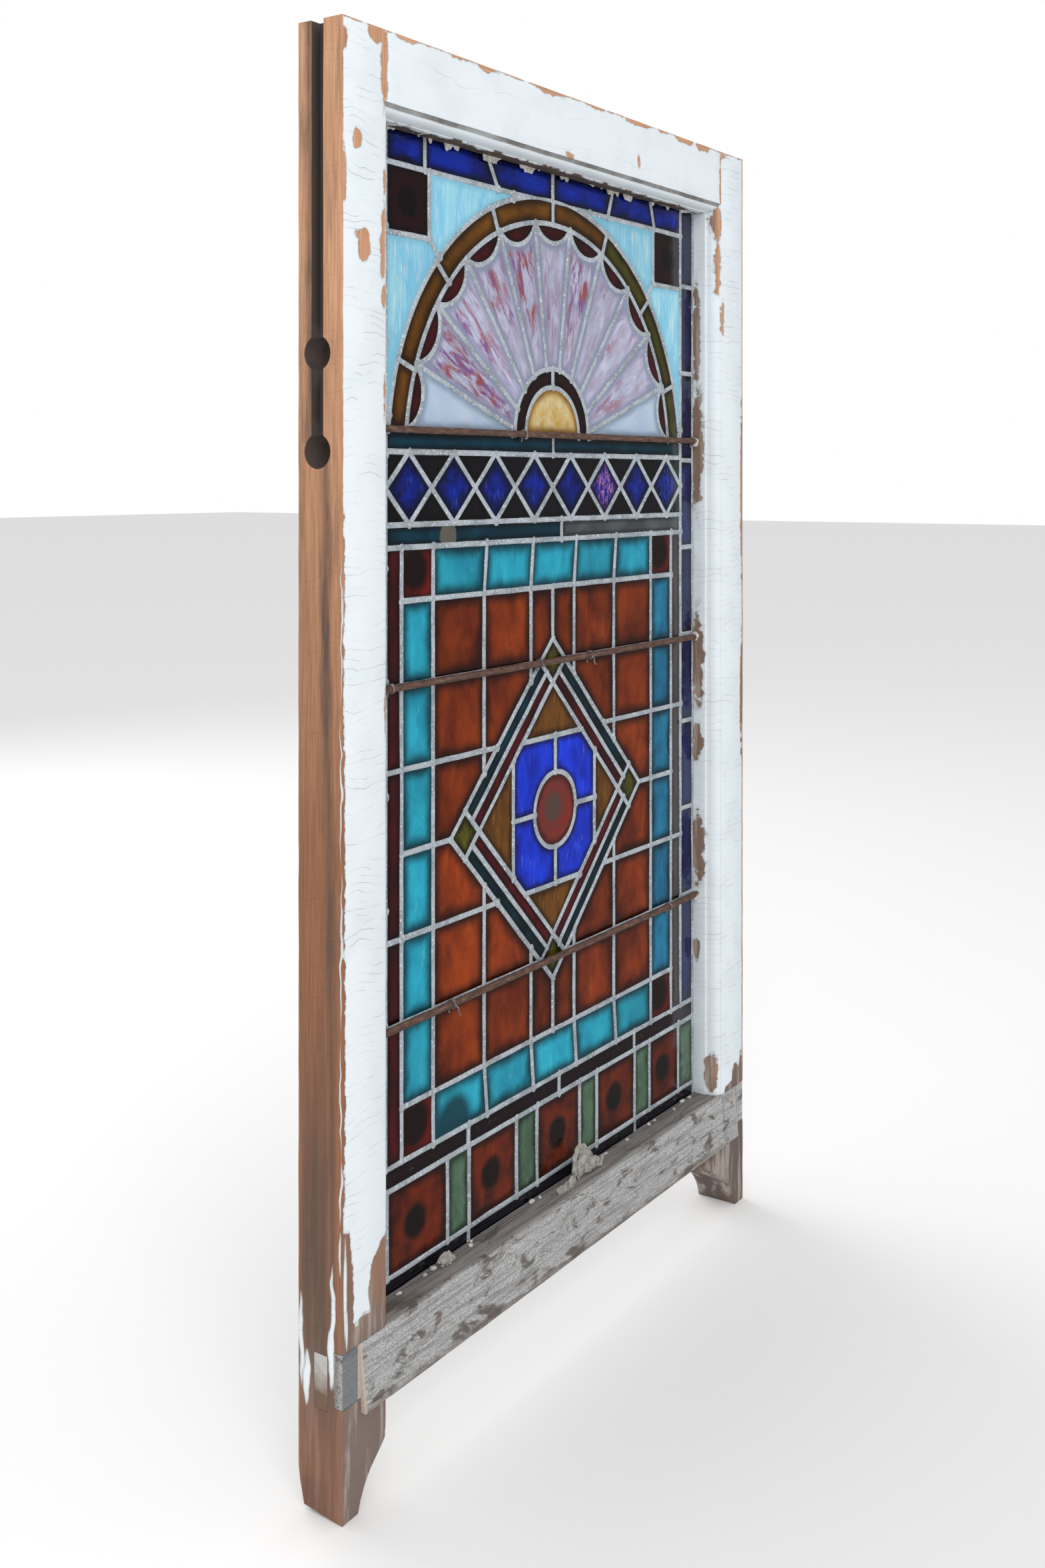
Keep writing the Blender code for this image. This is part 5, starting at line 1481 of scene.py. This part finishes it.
    def stains(self, mix: Recipe, depth: Any, height: Any, cloud: Any, on_edge: Any) -> Any:
        """Mixes the dark stains that run down the outer edge.

        Args:
            mix: The recipe.
            depth: Depth from the room side, in millimetres.
            height: Height over the horns' foot.
            cloud: Noise that makes their borders uneven.
            on_edge: 1 on the outer edge.

        Returns:
            Socket of their share.
        """
        low = mix.mask((height, 300.0, 900.0, 11.0, 20.0))
        high = mix.mask((height, 920.0, 945.0, 0.0, 38.0))
        centre = mix.add("Math", {0: low, 1: high}, operation="MAXIMUM")
        narrow = mix.add("Math", {0: cloud, 1: -14.0, 2: mix.away(depth, centre)}, operation="MULTIPLY_ADD")
        narrow = mix.mask((narrow, -6.0, 1.0, 0.75, 0.0))
        wide = mix.mask((mix.away(depth, 30.0), 11.0, 19.0, 0.8, 0.0), (height, 460.0, 300.0))
        band = mix.add("Math", {0: narrow, 1: wide}, operation="MAXIMUM")
        band = mix.mask(band, on_edge, (height, 60.0, 130.0, 0.3, 1.0))
        spread = mix.mask((cloud, 0.48, 0.68, 0.0, 0.4), on_edge)
        return mix.add("Math", {0: band, 1: spread}, operation="ADD", use_clamp=True)

    def paint_layer(self, mix: Recipe, place: Any, bare: Any, depth: Any) -> tuple[Any, Any]:
        """Mixes the crazed paint.

        Args:
            mix: The recipe.
            place: Position in millimetres.
            bare: Distance from the nearest bare place.
            depth: Depth from the room side, in millimetres.

        Returns:
            Sockets of the colour and the relief.
        """
        upright = self.grain is Grain.UPRIGHT
        along = mix.add("SeparateXYZ", {0: place}, out="Z")
        bend = mix.add("TexNoise", {"Vector": place, "Scale": 1 / (70 if upright else 110), "Detail": 3.0})
        along = mix.add("Math", {0: bend, 1: 36.0 if upright else 60.0, 2: along}, operation="MULTIPLY_ADD")
        rows = mix.add("Math", {0: along, 1: 7.5 if upright else 34.0}, operation="DIVIDE")
        rows = mix.add("Math", {0: rows, 1: 0.5}, operation="PINGPONG")
        thin = 0.045 if upright else 0.011
        broken = mix.figure(place, (40.0, 40.0, 14.0) if upright else (120.0, 60.0, 40.0), 3.0)
        wide = mix.add("TexNoise", {"Vector": place, "Scale": 1 / 60, "Detail": 4.0, "Roughness": 0.6})
        line = mix.mask((rows, thin * 0.3, thin, 1.0, 0.0), (broken, 0.46, 0.56),
                        (wide, 0.40, 0.58, 0.15, 0.6 if upright else 0.4))
        colour = mix.wash(self.paint, self.paint_shade, (wide, 0.45, 0.72, 0.0, 0.35))
        colour = mix.wash(colour, self.crack, line)
        colour = mix.wash(colour, self.dirty_edge, (bare, 0.0, 1.6, 0.45, 0.0))
        # Grime and painted shade: dark lines along the quirk, creases and gap of the moulding, patchy along
        # their length.
        if self.dirt_and_shade:
            worn = mix.mask((wide, 0.35, 0.6, 0.7, 1.0))
            for centre, reach, strength in self.crease_dirt_and_shade_lines:
                away = (mix.away(depth, centre), reach * 0.5, reach * 1.3, strength * self.dirt_and_shade, 0.0)
                colour = mix.wash(colour, self.crease_dirt_and_shade, away, worn)
        relief = mix.add("Math", {0: line, 1: -0.5}, operation="MULTIPLY")
        return colour, relief


@dataclass(frozen=True)
class WeatheredPine:
    """Unpainted softwood gone grey outdoors, with rubbed remnants of paint."""

    name: str
    grey: str = "#97928E"
    brown: str = "#706560"
    dark: str = "#564C48"
    film: str = "#9E9FA0"
    remnant: str = "#D0D1D0"
    streak: str = "#7E7A78"
    lap: str = "#6C7076"
    end_strip: str = "#C8B5A6"
    tenon: str = "#7C6250"
    tenon_pale: str = "#C2C0BC"

    def dress(self) -> bpy.types.Material:
        """Mixes the grey wood.

        Returns:
            The material.
        """
        mix = Recipe(self.name)
        place, x, depth, height = mix.in_millimetres(SashSizes())
        figure = mix.figure(place, (70.0, 2.6, 2.6), 5.0, Roughness=0.65)
        cloud = mix.figure(place, (38.0, 17.0, 17.0), 7.0, Roughness=0.68, Distortion=0.6)
        speck = mix.add("TexNoise", {"Vector": place, "Scale": 1 / 1.6, "Detail": 3.0, "Roughness": 0.7})
        colour = mix.wash(self.grey, self.brown, (figure, 0.38, 0.62))
        colour = mix.wash(colour, self.dark, (cloud, 0.56, 0.64, 0.0, 0.6))
        film = mix.wash(self.film, self.remnant, (speck, 0.44, 0.6))
        film = mix.wash(film, self.streak, (figure, 0.47, 0.60, 0.0, 0.6))
        rag = mix.add("Math", {0: cloud, 1: -40.0, 2: height}, operation="MULTIPLY_ADD")
        colour = mix.wash(colour, film, (cloud, 0.60, 0.54), (depth, 1.5, 7.0, 0.92, 0.1),
                          (rag, 71.0, 75.0, 0.15, 1.0))
        near = mix.mask((depth, 3.0, 6.0, 1.0, 0.0))
        for centre, reach, strength, shade in ((11.0, 10.5, 0.8, self.lap), (24.0, 2.6, 0.85, self.end_strip),
                                               (748.0, 2.6, 0.85, self.end_strip)):
            colour = mix.wash(colour, shade, (mix.away(x, centre), reach - 0.6, reach + 0.6, strength, 0.0),
                              near)
        fade = mix.add("Math", {0: cloud, 1: 50.0, 2: height}, operation="MULTIPLY_ADD")
        end = mix.wash(self.tenon, self.tenon_pale, (fade, 130.0, 158.0))
        colour = mix.wash(colour, end, (x, 1.0, 1.8, 1.0, 0.0), (depth, 8.0, 10.0))
        relief = mix.add("Math", {0: figure, 1: cloud}, operation="ADD")
        bump = mix.add("Bump", {"Strength": 1.0, "Distance": 0.9 * MM, "Height": relief})
        return mix.surface(Base_Color=colour, Roughness=0.85, Normal=bump)


@dataclass
class Timber:
    """The stiles and rails, worn at their arrises."""

    nodes: dict[str, bpy.types.Object]
    arris: float = 0.0009
    slice_step: float = 0.012
    wave: float = 0.03
    wear: float = 0.00035
    left_patches: tuple[Patch, ...] = (
        Patch(1, 600, 2.4, 110), Patch(1, 400, 2.8, 120), Patch(1, 800, 1.8, 60), Patch(58, 1282, 5, 34),
        Patch(48, 1312, 12, 9), Patch(2, 1296, 5, 10), Patch(20, 1212, 6, 9),
        Patch(30, 1119, 8, 15), Patch(27, 1128, 9, 5), Patch(58, 1140, 4, 16), Patch(56, 1118, 4, 22),
        Patch(58, 1075, 4, 12), Patch(59, 1180, 3, 10), Patch(59, 990, 2.5, 20), Patch(2, 1180, 3, 24),
        Patch(60, 700, 2.5, 16), Patch(62, 190, 26, 40), Patch(3, 190, 12, 66), Patch(0, 820, 3, 40),
    )
    left_drips: tuple[Patch, ...] = (
        Patch(0, 170, 3, 52, 11, 2.6), Patch(0, 142, 3, 26, 13, 4.2), Patch(0, 150, 3, 40, 48, 2.6),
        Patch(0, 118, 3, 24, 42, 4.4), Patch(4, 205, 2.4, 44, 0, 3), Patch(6, 168, 1.6, 18, 0, 3),
        Patch(0, 780, 2, 60, 1.2, 0.8), Patch(0, 640, 2, 56, 1.3, 1.0), Patch(0, 500, 2, 62, 1.2, 1.1),
        Patch(0, 372, 2, 44, 1.4, 1.0), Patch(0, 290, 2, 26, 1.6, 1.2), Patch(0, 236, 2, 18, 1.8, 1.4),
    )
    right_patches: tuple[Patch, ...] = (
        Patch(709, 1228, 6, 20, 6, 12), Patch(710, 1178, 3.2, 42, 5, 8), Patch(717, 1110, 4, 18),
        Patch(712, 1313, 14, 5), Patch(706, 1290, 3, 26), Patch(769, 900, 3, 90),
        Patch(707, 180, 8, 24, 11, 9),
        Patch(752, 160, 10, 18), Patch(744, 152, 20, 7), Patch(766, 158, 6, 26), Patch(768, 640, 3, 60),
        Patch(702, 1088, 4, 62, 29, 5), Patch(702, 950, 4, 68, 28, 8), Patch(702, 688, 4, 52, 27, 8),
        Patch(702, 586, 4, 19, 27, 7), Patch(702, 454, 4, 40, 26, 9), Patch(702, 330, 4, 14, 29, 5),
    )
    # The last patch bares the moulding's underside, which then takes the dark brown of grime and painted
    # shade.
    rail_patches: tuple[Patch, ...] = (
        Patch(90, 1318, 20, 5), Patch(170, 1318, 16, 4), Patch(215, 1317, 20, 5), Patch(330, 1317, 26, 5),
        Patch(420, 1318, 22, 4), Patch(508, 1317, 30, 5), Patch(566, 1318, 12, 4), Patch(620, 1317, 24, 6),
        Patch(664, 1316, 16, 7), Patch(512, 1271, 3.2, 6), Patch(366, 1255, 7, 3), Patch(60, 1285, 2.5, 30),
        Patch(712, 1270, 3, 38), Patch(386, 1241, 330, 4.5, 27, 10),
    )

    def worn_copy(self, name: str, node: str, along: Vector) -> bmesh.types.BMesh:
        """Copies a timber with rounded, uneven arrises.

        Args:
            name: The copy's name.
            node: CAD node that it stands for.
            along: Direction of its grain.

        Returns:
            The worn shape.
        """
        shape = bmesh.new()
        shape.from_mesh(self.nodes[node].data)
        bmesh.ops.remove_doubles(shape, verts=shape.verts, dist=0.02 * MM)
        bmesh.ops.dissolve_limit(shape, angle_limit=math.radians(1), verts=shape.verts, edges=shape.edges)
        sharp = [e for e in shape.edges if e.is_manifold and e.is_convex
                 and e.calc_face_angle() > math.radians(40)]
        bmesh.ops.bevel(shape, geom=sharp, offset=self.arris, segments=2, profile=0.5, affect="EDGES",
                        clamp_overlap=True, material=-1)
        ends = [vert.co.dot(along) for vert in shape.verts]
        count = int((max(ends) - min(ends)) / self.slice_step)
        for index in range(1, count):
            slice_across(shape, along * (min(ends) + (max(ends) - min(ends)) * index / count), along)
        if node == "left_stile":
            self.wear_horn(shape)
        for vert in shape.verts:
            vert.co += shiver(vert.co, self.wave, self.wear)
        bmesh.ops.triangulate(shape, faces=shape.faces)
        LOG.info("%s: %d open edges", name, sum(not e.is_manifold for e in shape.edges))
        return shape

    @staticmethod
    def wear_horn(shape: bmesh.types.BMesh) -> None:
        """Wears away the back corner at the foot of the left horn."""
        corner = SashSizes().place(0.0, 44.5 * MM, 4.5 * MM)
        slope, reach = 0.25, 25.5 * MM
        for vert in shape.verts:
            height = vert.co.z - corner.z
            limit = corner.y + slope * max(0.0, height)
            if height < reach and vert.co.y > limit:
                vert.co.y, vert.co.z = limit, max(vert.co.z, corner.z)

    def build(self) -> None:
        """Makes the four timbers."""
        up, across = Vector((0, 0, 1)), Vector((1, 0, 0))
        left = PaintedPine("left_stile_paint", Grain.UPRIGHT, self.left_patches, self.left_drips)
        right = PaintedPine("right_stile_paint", Grain.UPRIGHT, self.right_patches, bare_arris_mm=2.4,
                            paint_foot_mm=148.0, weathered="#6C605A")
        # The top rail takes the grime and painted shade under and in its moulding.
        rail = PaintedPine("top_rail_paint", Grain.ACROSS, self.rail_patches, dirt_and_shade=1.0, reveal_age=0.0)
        grey = WeatheredPine("grey_rail")
        for node, along, finish in (("left_stile", up, left), ("right_stile", up, right),
                                    ("top_rail", across, rail), ("meeting_rail", across, grey)):
            name = f"worn_{node}"
            fit(new_piece(name, self.worn_copy(name, node, along), finish.dress()), [node])


@dataclass(frozen=True)
class RustFinish:
    """Forged iron under thin brown rust."""

    name: str
    rust: str = "#7C5A4C"
    dark: str = "#54423A"
    pale: str = "#A08C80"

    def dress(self) -> bpy.types.Material:
        """Mixes the rust.

        Returns:
            The material.
        """
        mix = Recipe(self.name)
        place = mix.add("TexCoord", {}, out="Object")
        cloud = mix.figure(place, (1 / 90, 1 / 320, 1 / 320), 5.0, Roughness=0.65)
        colour = mix.wash(self.dark, self.rust, (cloud, 0.38, 0.6))
        colour = mix.wash(colour, self.pale, (cloud, 0.6, 0.72, 0.0, 0.8))
        bump = mix.add("Bump", {"Strength": 1.0, "Distance": 0.4 * MM, "Height": cloud})
        return mix.surface(Base_Color=colour, Metallic=0.15, Roughness=0.7, Normal=bump)


@dataclass
class Ironwork:
    """The saddle bars and the wires that tie the panel to them."""

    sash: SashSizes
    plan: PanelPlan
    wire_radius: float = 0.0008
    wire_turns: float = 1.55
    wire_pitch: float = 0.004
    twist_radius: float = 0.0011
    coil_steps: int = 24
    tail_steps: int = 6
    ties: tuple[tuple[str, float, float], ...] = (
        ("saddle_bar_top", 0.321, 0.006), ("saddle_bar_top", 0.690, 0.004),
        ("saddle_bar_middle", 0.100, 0.004), ("saddle_bar_middle", 0.350, 0.008),
        ("saddle_bar_middle", 0.450, 0.014), ("saddle_bar_lower", 0.195, 0.016),
        ("saddle_bar_lower", 0.630, 0.005),
    )

    def bar(self, height: float) -> bmesh.types.BMesh:
        """Makes one hammered, slightly uneven bar."""
        shape = bmesh.new()
        bmesh.ops.create_cone(shape, cap_ends=True, segments=14, radius1=self.sash.bar_radius,
                              radius2=self.sash.bar_radius, depth=2 * self.sash.bar_half_length)
        long_edges = [e for e in shape.edges if e.calc_length() > self.sash.bar_half_length]
        bmesh.ops.subdivide_edges(shape, edges=long_edges, cuts=110, use_grid_fill=True)
        bmesh.ops.rotate(shape, matrix=Matrix.Rotation(math.pi / 2, 3, "Y"), verts=shape.verts)
        middle = self.sash.place(0.0, self.sash.bar_from_front, height)
        bmesh.ops.translate(shape, vec=middle, verts=shape.verts)
        for vert in shape.verts:
            shift = shiver(vert.co, 0.012, 0.00025)
            vert.co += Vector((0.0, shift.y, shift.z))
        return shape

    def tie(self, bar: str, x: float, tail: float, draw: random.Random) -> list[Vector]:
        """Path of one wire around a bar.

        Args:
            bar: The bar that it holds.
            x: Its distance from the left edge.
            tail: Length of its twisted end.
            draw: Source of its chance bends.

        Returns:
            Points of the path.
        """
        centre = self.sash.place(x - self.sash.width / 2, self.sash.bar_from_front,
                                 self.plan.bar_heights[bar])
        reach = self.sash.bar_radius + self.wire_radius
        path = []
        for index in range(self.coil_steps + 1):
            share = index / self.coil_steps
            turn = -0.5 * math.pi + self.wire_turns * math.tau * share
            path.append(centre + Vector((share * self.wire_pitch, math.cos(turn) * reach,
                                         math.sin(turn) * reach)))
        path[0] += Vector((0.0, 2 * MM, -4 * MM))
        lean = draw.uniform(-0.4, 0.4)
        end = path[-1]
        for index in range(1, self.tail_steps + 1):
            away = tail * index / self.tail_steps
            twist = index * 1.9
            path.append(end + Vector((away * math.sin(lean) + self.twist_radius * math.cos(twist),
                                      -away * 0.25,
                                      -away * math.cos(lean) + self.twist_radius * math.sin(twist))))
        return path

    def wires(self) -> bpy.types.Object:
        """Makes all the ties as one mesh of round wire."""
        draw = random.Random(5)
        data = bpy.data.curves.new("wire_ties", "CURVE")
        data.dimensions = "3D"
        data.bevel_depth = self.wire_radius
        data.bevel_resolution = 2
        data.use_fill_caps = True
        for bar, x, tail in self.ties:
            path = self.tie(bar, x, tail, draw)
            spline = data.splines.new("POLY")
            spline.points.add(len(path) - 1)
            for point, place in zip(spline.points, path):
                point.co = (*place, 1.0)
        holder = bpy.data.objects.new("wire_path", data)
        bpy.context.scene.collection.objects.link(holder)
        bpy.context.view_layer.update()
        shape = bmesh.new()
        mesh = holder.to_mesh()
        shape.from_mesh(mesh)
        bpy.data.objects.remove(holder)
        finish = LeadFinish("tarnished_wire", dull="#8B8782", dark="#6A5E56", bright="#B9B5AE")
        return new_piece("wire_ties", shape, finish.dress(), 80.0)

    def build(self) -> None:
        """Makes the bars and their ties."""
        rust = RustFinish("bar_rust").dress()
        for node, height in self.plan.bar_heights.items():
            fit(new_piece(f"rusty_{node}", self.bar(height), rust, 60.0), [node])
        fit(self.wires())


@dataclass(frozen=True)
class PuttyFinish:
    """Dry linseed putty: chalky, cracked and dusty."""

    name: str
    pale: str = "#E2E0DA"
    dirty: str = "#A8A39A"
    grain_mm: float = 6.0

    def dress(self) -> bpy.types.Material:
        """Mixes the putty.

        Returns:
            The material.
        """
        mix = Recipe(self.name)
        place = mix.add("TexCoord", {}, out="Object")
        cloud = mix.add("TexNoise", {"Vector": place, "Scale": 1 / (self.grain_mm * MM), "Detail": 6.0,
                                     "Roughness": 0.7})
        colour = mix.wash(self.pale, self.dirty, (cloud, 0.42, 0.64))
        bump = mix.add("Bump", {"Strength": 0.9, "Distance": 0.6 * MM, "Height": cloud})
        return mix.surface(Base_Color=colour, Roughness=0.9, Normal=bump)


@dataclass
class PuttyWork:
    """The putty bead at the back, and the scraps, flakes and crumbs left in front."""

    sash: SashSizes
    node: bpy.types.Object
    scraps: tuple[tuple[tuple[float, float, float, float], ...], ...] = (
        ((0.366, 0.016, 0.151, 3.0), (0.375, 0.012, 0.152, 8.0), (0.386, 0.010, 0.153, 11.0),
         (0.396, 0.012, 0.154, 9.0), (0.403, 0.016, 0.156, 4.0)),
        ((0.398, 0.014, 0.151, 4.0), (0.402, 0.017, 0.163, 5.0), (0.409, 0.020, 0.173, 6.0),
         (0.418, 0.022, 0.179, 7.0), (0.428, 0.021, 0.174, 6.0), (0.434, 0.018, 0.164, 7.0),
         (0.439, 0.014, 0.154, 5.0)),
        ((0.408, 0.017, 0.152, 8.0), (0.418, 0.019, 0.160, 14.0), (0.427, 0.018, 0.159, 12.0),
         (0.434, 0.015, 0.153, 5.0)),
        ((0.434, 0.021, 0.152, 3.0), (0.442, 0.017, 0.156, 8.0), (0.450, 0.014, 0.155, 7.0),
         (0.458, 0.013, 0.158, 3.0)),
        ((0.168, 0.024, 0.152, 2.0), (0.173, 0.022, 0.157, 7.0), (0.180, 0.020, 0.154, 8.0),
         (0.188, 0.019, 0.152, 2.0)),
    )
    scrap_lift: float = 0.002
    scrap_half_width: float = 0.8
    scrap_steps: int = 9
    hanging_reach: float = 0.0065
    hanging_start: float = 0.086
    hanging_step: float = 0.0013
    hanging_steps: int = 460
    hanging_depth: float = 0.0315
    blob_radius: float = 0.0056
    blob_ends: tuple[Point, ...] = ((0.6995, 0.9575), (0.6995, 0.717), (0.6995, 0.3945))
    crumbs: tuple[tuple[float, float], ...] = (
        (0.110, 3.0), (0.152, 2.5), (0.166, 4.0), (0.176, 2.0), (0.224, 3.2), (0.232, 2.2), (0.338, 3.6),
        (0.352, 2.2), (0.486, 2.0), (0.531, 2.6), (0.583, 3.0), (0.598, 2.2), (0.640, 2.8), (0.668, 3.4),
        (0.684, 2.4),
    )

    def scrap(self, shape: bmesh.types.BMesh, path: Sequence[tuple[float, float, float, float]]) -> None:
        """Adds a torn, crumpled scrap of putty.

        Args:
            shape: The shape that it is added to.
            path: X from the left edge, depth, height and width in millimetres at its stations.
        """
        part = bmesh.new()
        rows = []
        for here, after in zip(path, path[1:] + (path[-1],)):
            across = Vector((after[0] - here[0], 0.0, after[2] - here[2])).normalized()
            across = across.cross(Vector((0, 1, 0)))
            across = across if across.length > 0.1 else Vector((0, 0, 1))
            for step in range(self.scrap_steps if after != here else 1):
                x, depth, height, width = (a + (b - a) * step / self.scrap_steps
                                           for a, b in zip(here, after))
                place = self.sash.place(x - self.sash.width / 2, depth, height + self.scrap_lift)
                half = width * self.scrap_half_width * MM
                rows.append([part.verts.new(place + across * half * turn) for turn in (-1, -0.5, 0, 0.5, 1)])
        for row, following in zip(rows, rows[1:]):
            for a, b, c, d in zip(row, row[1:], following[1:], following):
                part.faces.new((a, b, c, d))
        for vert in part.verts:
            vert.co += shiver(vert.co, 0.005, 0.0020) + shiver(vert.co, 0.0018, 0.0008)
        bmesh.ops.solidify(part, geom=part.faces[:], thickness=1.3 * MM)
        bmesh.ops.recalc_face_normals(part, faces=part.faces)
        append(shape, part)

    def hanging(self, shape: bmesh.types.BMesh) -> None:
        """Adds the ragged paint and putty that hangs under the top rail's moulding."""
        foot = self.sash.rail_face_foot - self.sash.moulding_width
        part = bmesh.new()
        before = None
        for index in range(self.hanging_steps):
            x = (self.hanging_start + index * self.hanging_step) - self.sash.width / 2
            drop = noise.noise(Vector((x / 0.034, 3.0, 0.0)))
            drop += 0.45 * noise.noise(Vector((x / 0.009, 9.0, 0.0)))
            drop = min(max(0.0, drop - 0.06) * self.hanging_reach / 0.3, self.hanging_reach)
            drop *= 1.0 + 0.3 * noise.noise(Vector((x / 0.003, 5.0, 0.0)))
            if drop < 0.3 * MM:
                before = None
                continue
            depth = self.hanging_depth + 0.8 * MM * noise.noise(Vector((x / 0.009, 0.0, 5.0)))
            column = [part.verts.new(self.sash.place(x, depth, height))
                      for height in (foot + 0.4 * MM, foot - drop)]
            if before:
                part.faces.new((before[0], column[0], column[1], before[1]))
            before = column
        bmesh.ops.delete(part, geom=[v for v in part.verts if not v.link_faces], context="VERTS")
        bmesh.ops.solidify(part, geom=part.faces[:], thickness=0.7 * MM)
        bmesh.ops.recalc_face_normals(part, faces=part.faces)
        append(shape, part)

    def build(self) -> None:
        """Makes the loose putty, and dresses the bead."""
        finish = PuttyFinish("dry_putty").dress()
        self.node.data.materials.clear()
        self.node.data.materials.append(finish)
        shape = bmesh.new()
        for path in self.scraps:
            self.scrap(shape, path)
        self.hanging(shape)
        half = self.sash.width / 2
        for x, height in self.blob_ends:
            lump(shape, self.sash.place(x - half, self.sash.bar_from_front, height), self.blob_radius,
                 (0.75, 0.8, 1.0), 4 * MM, 1.2 * MM, rounds=3)
        draw = random.Random(3)
        for x, size in self.crumbs:
            place = self.sash.place(x - half, draw.uniform(0.024, 0.031),
                                    self.sash.meeting_rail_top + size * 0.25 * MM)
            lump(shape, place, size * MM, (draw.uniform(0.9, 1.7), 0.8, 0.55), 3 * MM, 1.2 * MM)
        fit(new_piece("loose_putty", shape, finish, 60.0))


@dataclass
class Studio:
    """The floor, the lights and the camera."""

    sash: SashSizes
    camera_place: Point = (-1.446, -0.967)
    camera_height: float = 0.9125
    heading: float = math.radians(55.6)
    lens: float = 36.73
    shift_y: float = -0.1948
    room_light: float = 0.78
    mirrored_light: float = 0.2

    def floor(self) -> None:
        """Lays the pale floor under the horns."""
        shape = bmesh.new()
        bmesh.ops.create_grid(shape, x_segments=1, y_segments=1, size=30.0)
        bmesh.ops.translate(shape, vec=(0.0, 0.0, -self.sash.mount_height), verts=shape.verts)
        mix = Recipe("pale_floor")
        piece = new_piece("floor", shape, mix.surface(Base_Color=linear("#FFFFFF"), Roughness=0.9))
        piece.visible_glossy = False

    def light(self, name: str, place: Vector, target: Vector, size: float, power: float) -> None:
        """Adds a soft square light.

        Args:
            name: Its name.
            place: Where it stands.
            target: What it faces.
            size: Length of its side.
            power: Watts.
        """
        data = bpy.data.lights.new(name, "AREA")
        data.shape = "SQUARE"
        data.size = size
        data.energy = power
        lamp = bpy.data.objects.new(name, data)
        lamp.location = place
        lamp.rotation_euler = (target - place).to_track_quat("-Z", "Y").to_euler()
        bpy.context.scene.collection.objects.link(lamp)

    def build(self) -> None:
        """Sets the stage."""
        self.floor()
        middle = self.sash.place(0.0, 0.0, self.sash.height / 2)
        self.light("window_light", Vector((-2.6, -2.4, 1.3)), middle, 2.4, 45.0)
        self.light("back_light", Vector((0.6, 3.0, 1.2)), middle, 2.6, 40.0)
        room = Recipe("pale_room", world=True)
        in_mirror = room.add("LightPath", {}, out="Is Glossy Ray")
        seen = room.add("LightPath", {}, out="Is Camera Ray")
        strength = room.mask((in_mirror, 0.0, 1.0, self.room_light, self.mirrored_light))
        strength = room.add("Math", {0: strength, 1: seen}, operation="MAXIMUM")
        bpy.context.scene.world = room.surface(Color=linear("#FFFFFF"), Strength=strength)
        bpy.context.scene.view_settings.view_transform = "Standard"
        data = bpy.data.cameras.new("camera")
        data.lens = self.lens
        data.shift_y = self.shift_y
        camera = bpy.data.objects.new("camera", data)
        camera.location = (*self.camera_place, self.camera_height - self.sash.mount_height)
        camera.rotation_euler = (math.pi / 2, 0.0, -self.heading)
        bpy.context.scene.collection.objects.link(camera)
        bpy.context.scene.camera = camera


def main() -> None:
    """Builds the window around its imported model."""
    logging.basicConfig(level=logging.INFO, format="%(name)s %(message)s")
    noise.seed_set(NOISE_SEED)
    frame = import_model()
    sash = SashSizes()
    plan = PanelPlan(sash)
    panes = plan.panes()
    Studio(sash).build()
    Glazing(sash, panes, plan.lead_width).build()
    Leadwork(sash, plan, panes).build()
    Timber(frame["nodes"]).build()
    Ironwork(sash, plan).build()
    PuttyWork(sash, frame["nodes"]["glazing_putty"]).build()


if __name__ == "__main__":
    main()
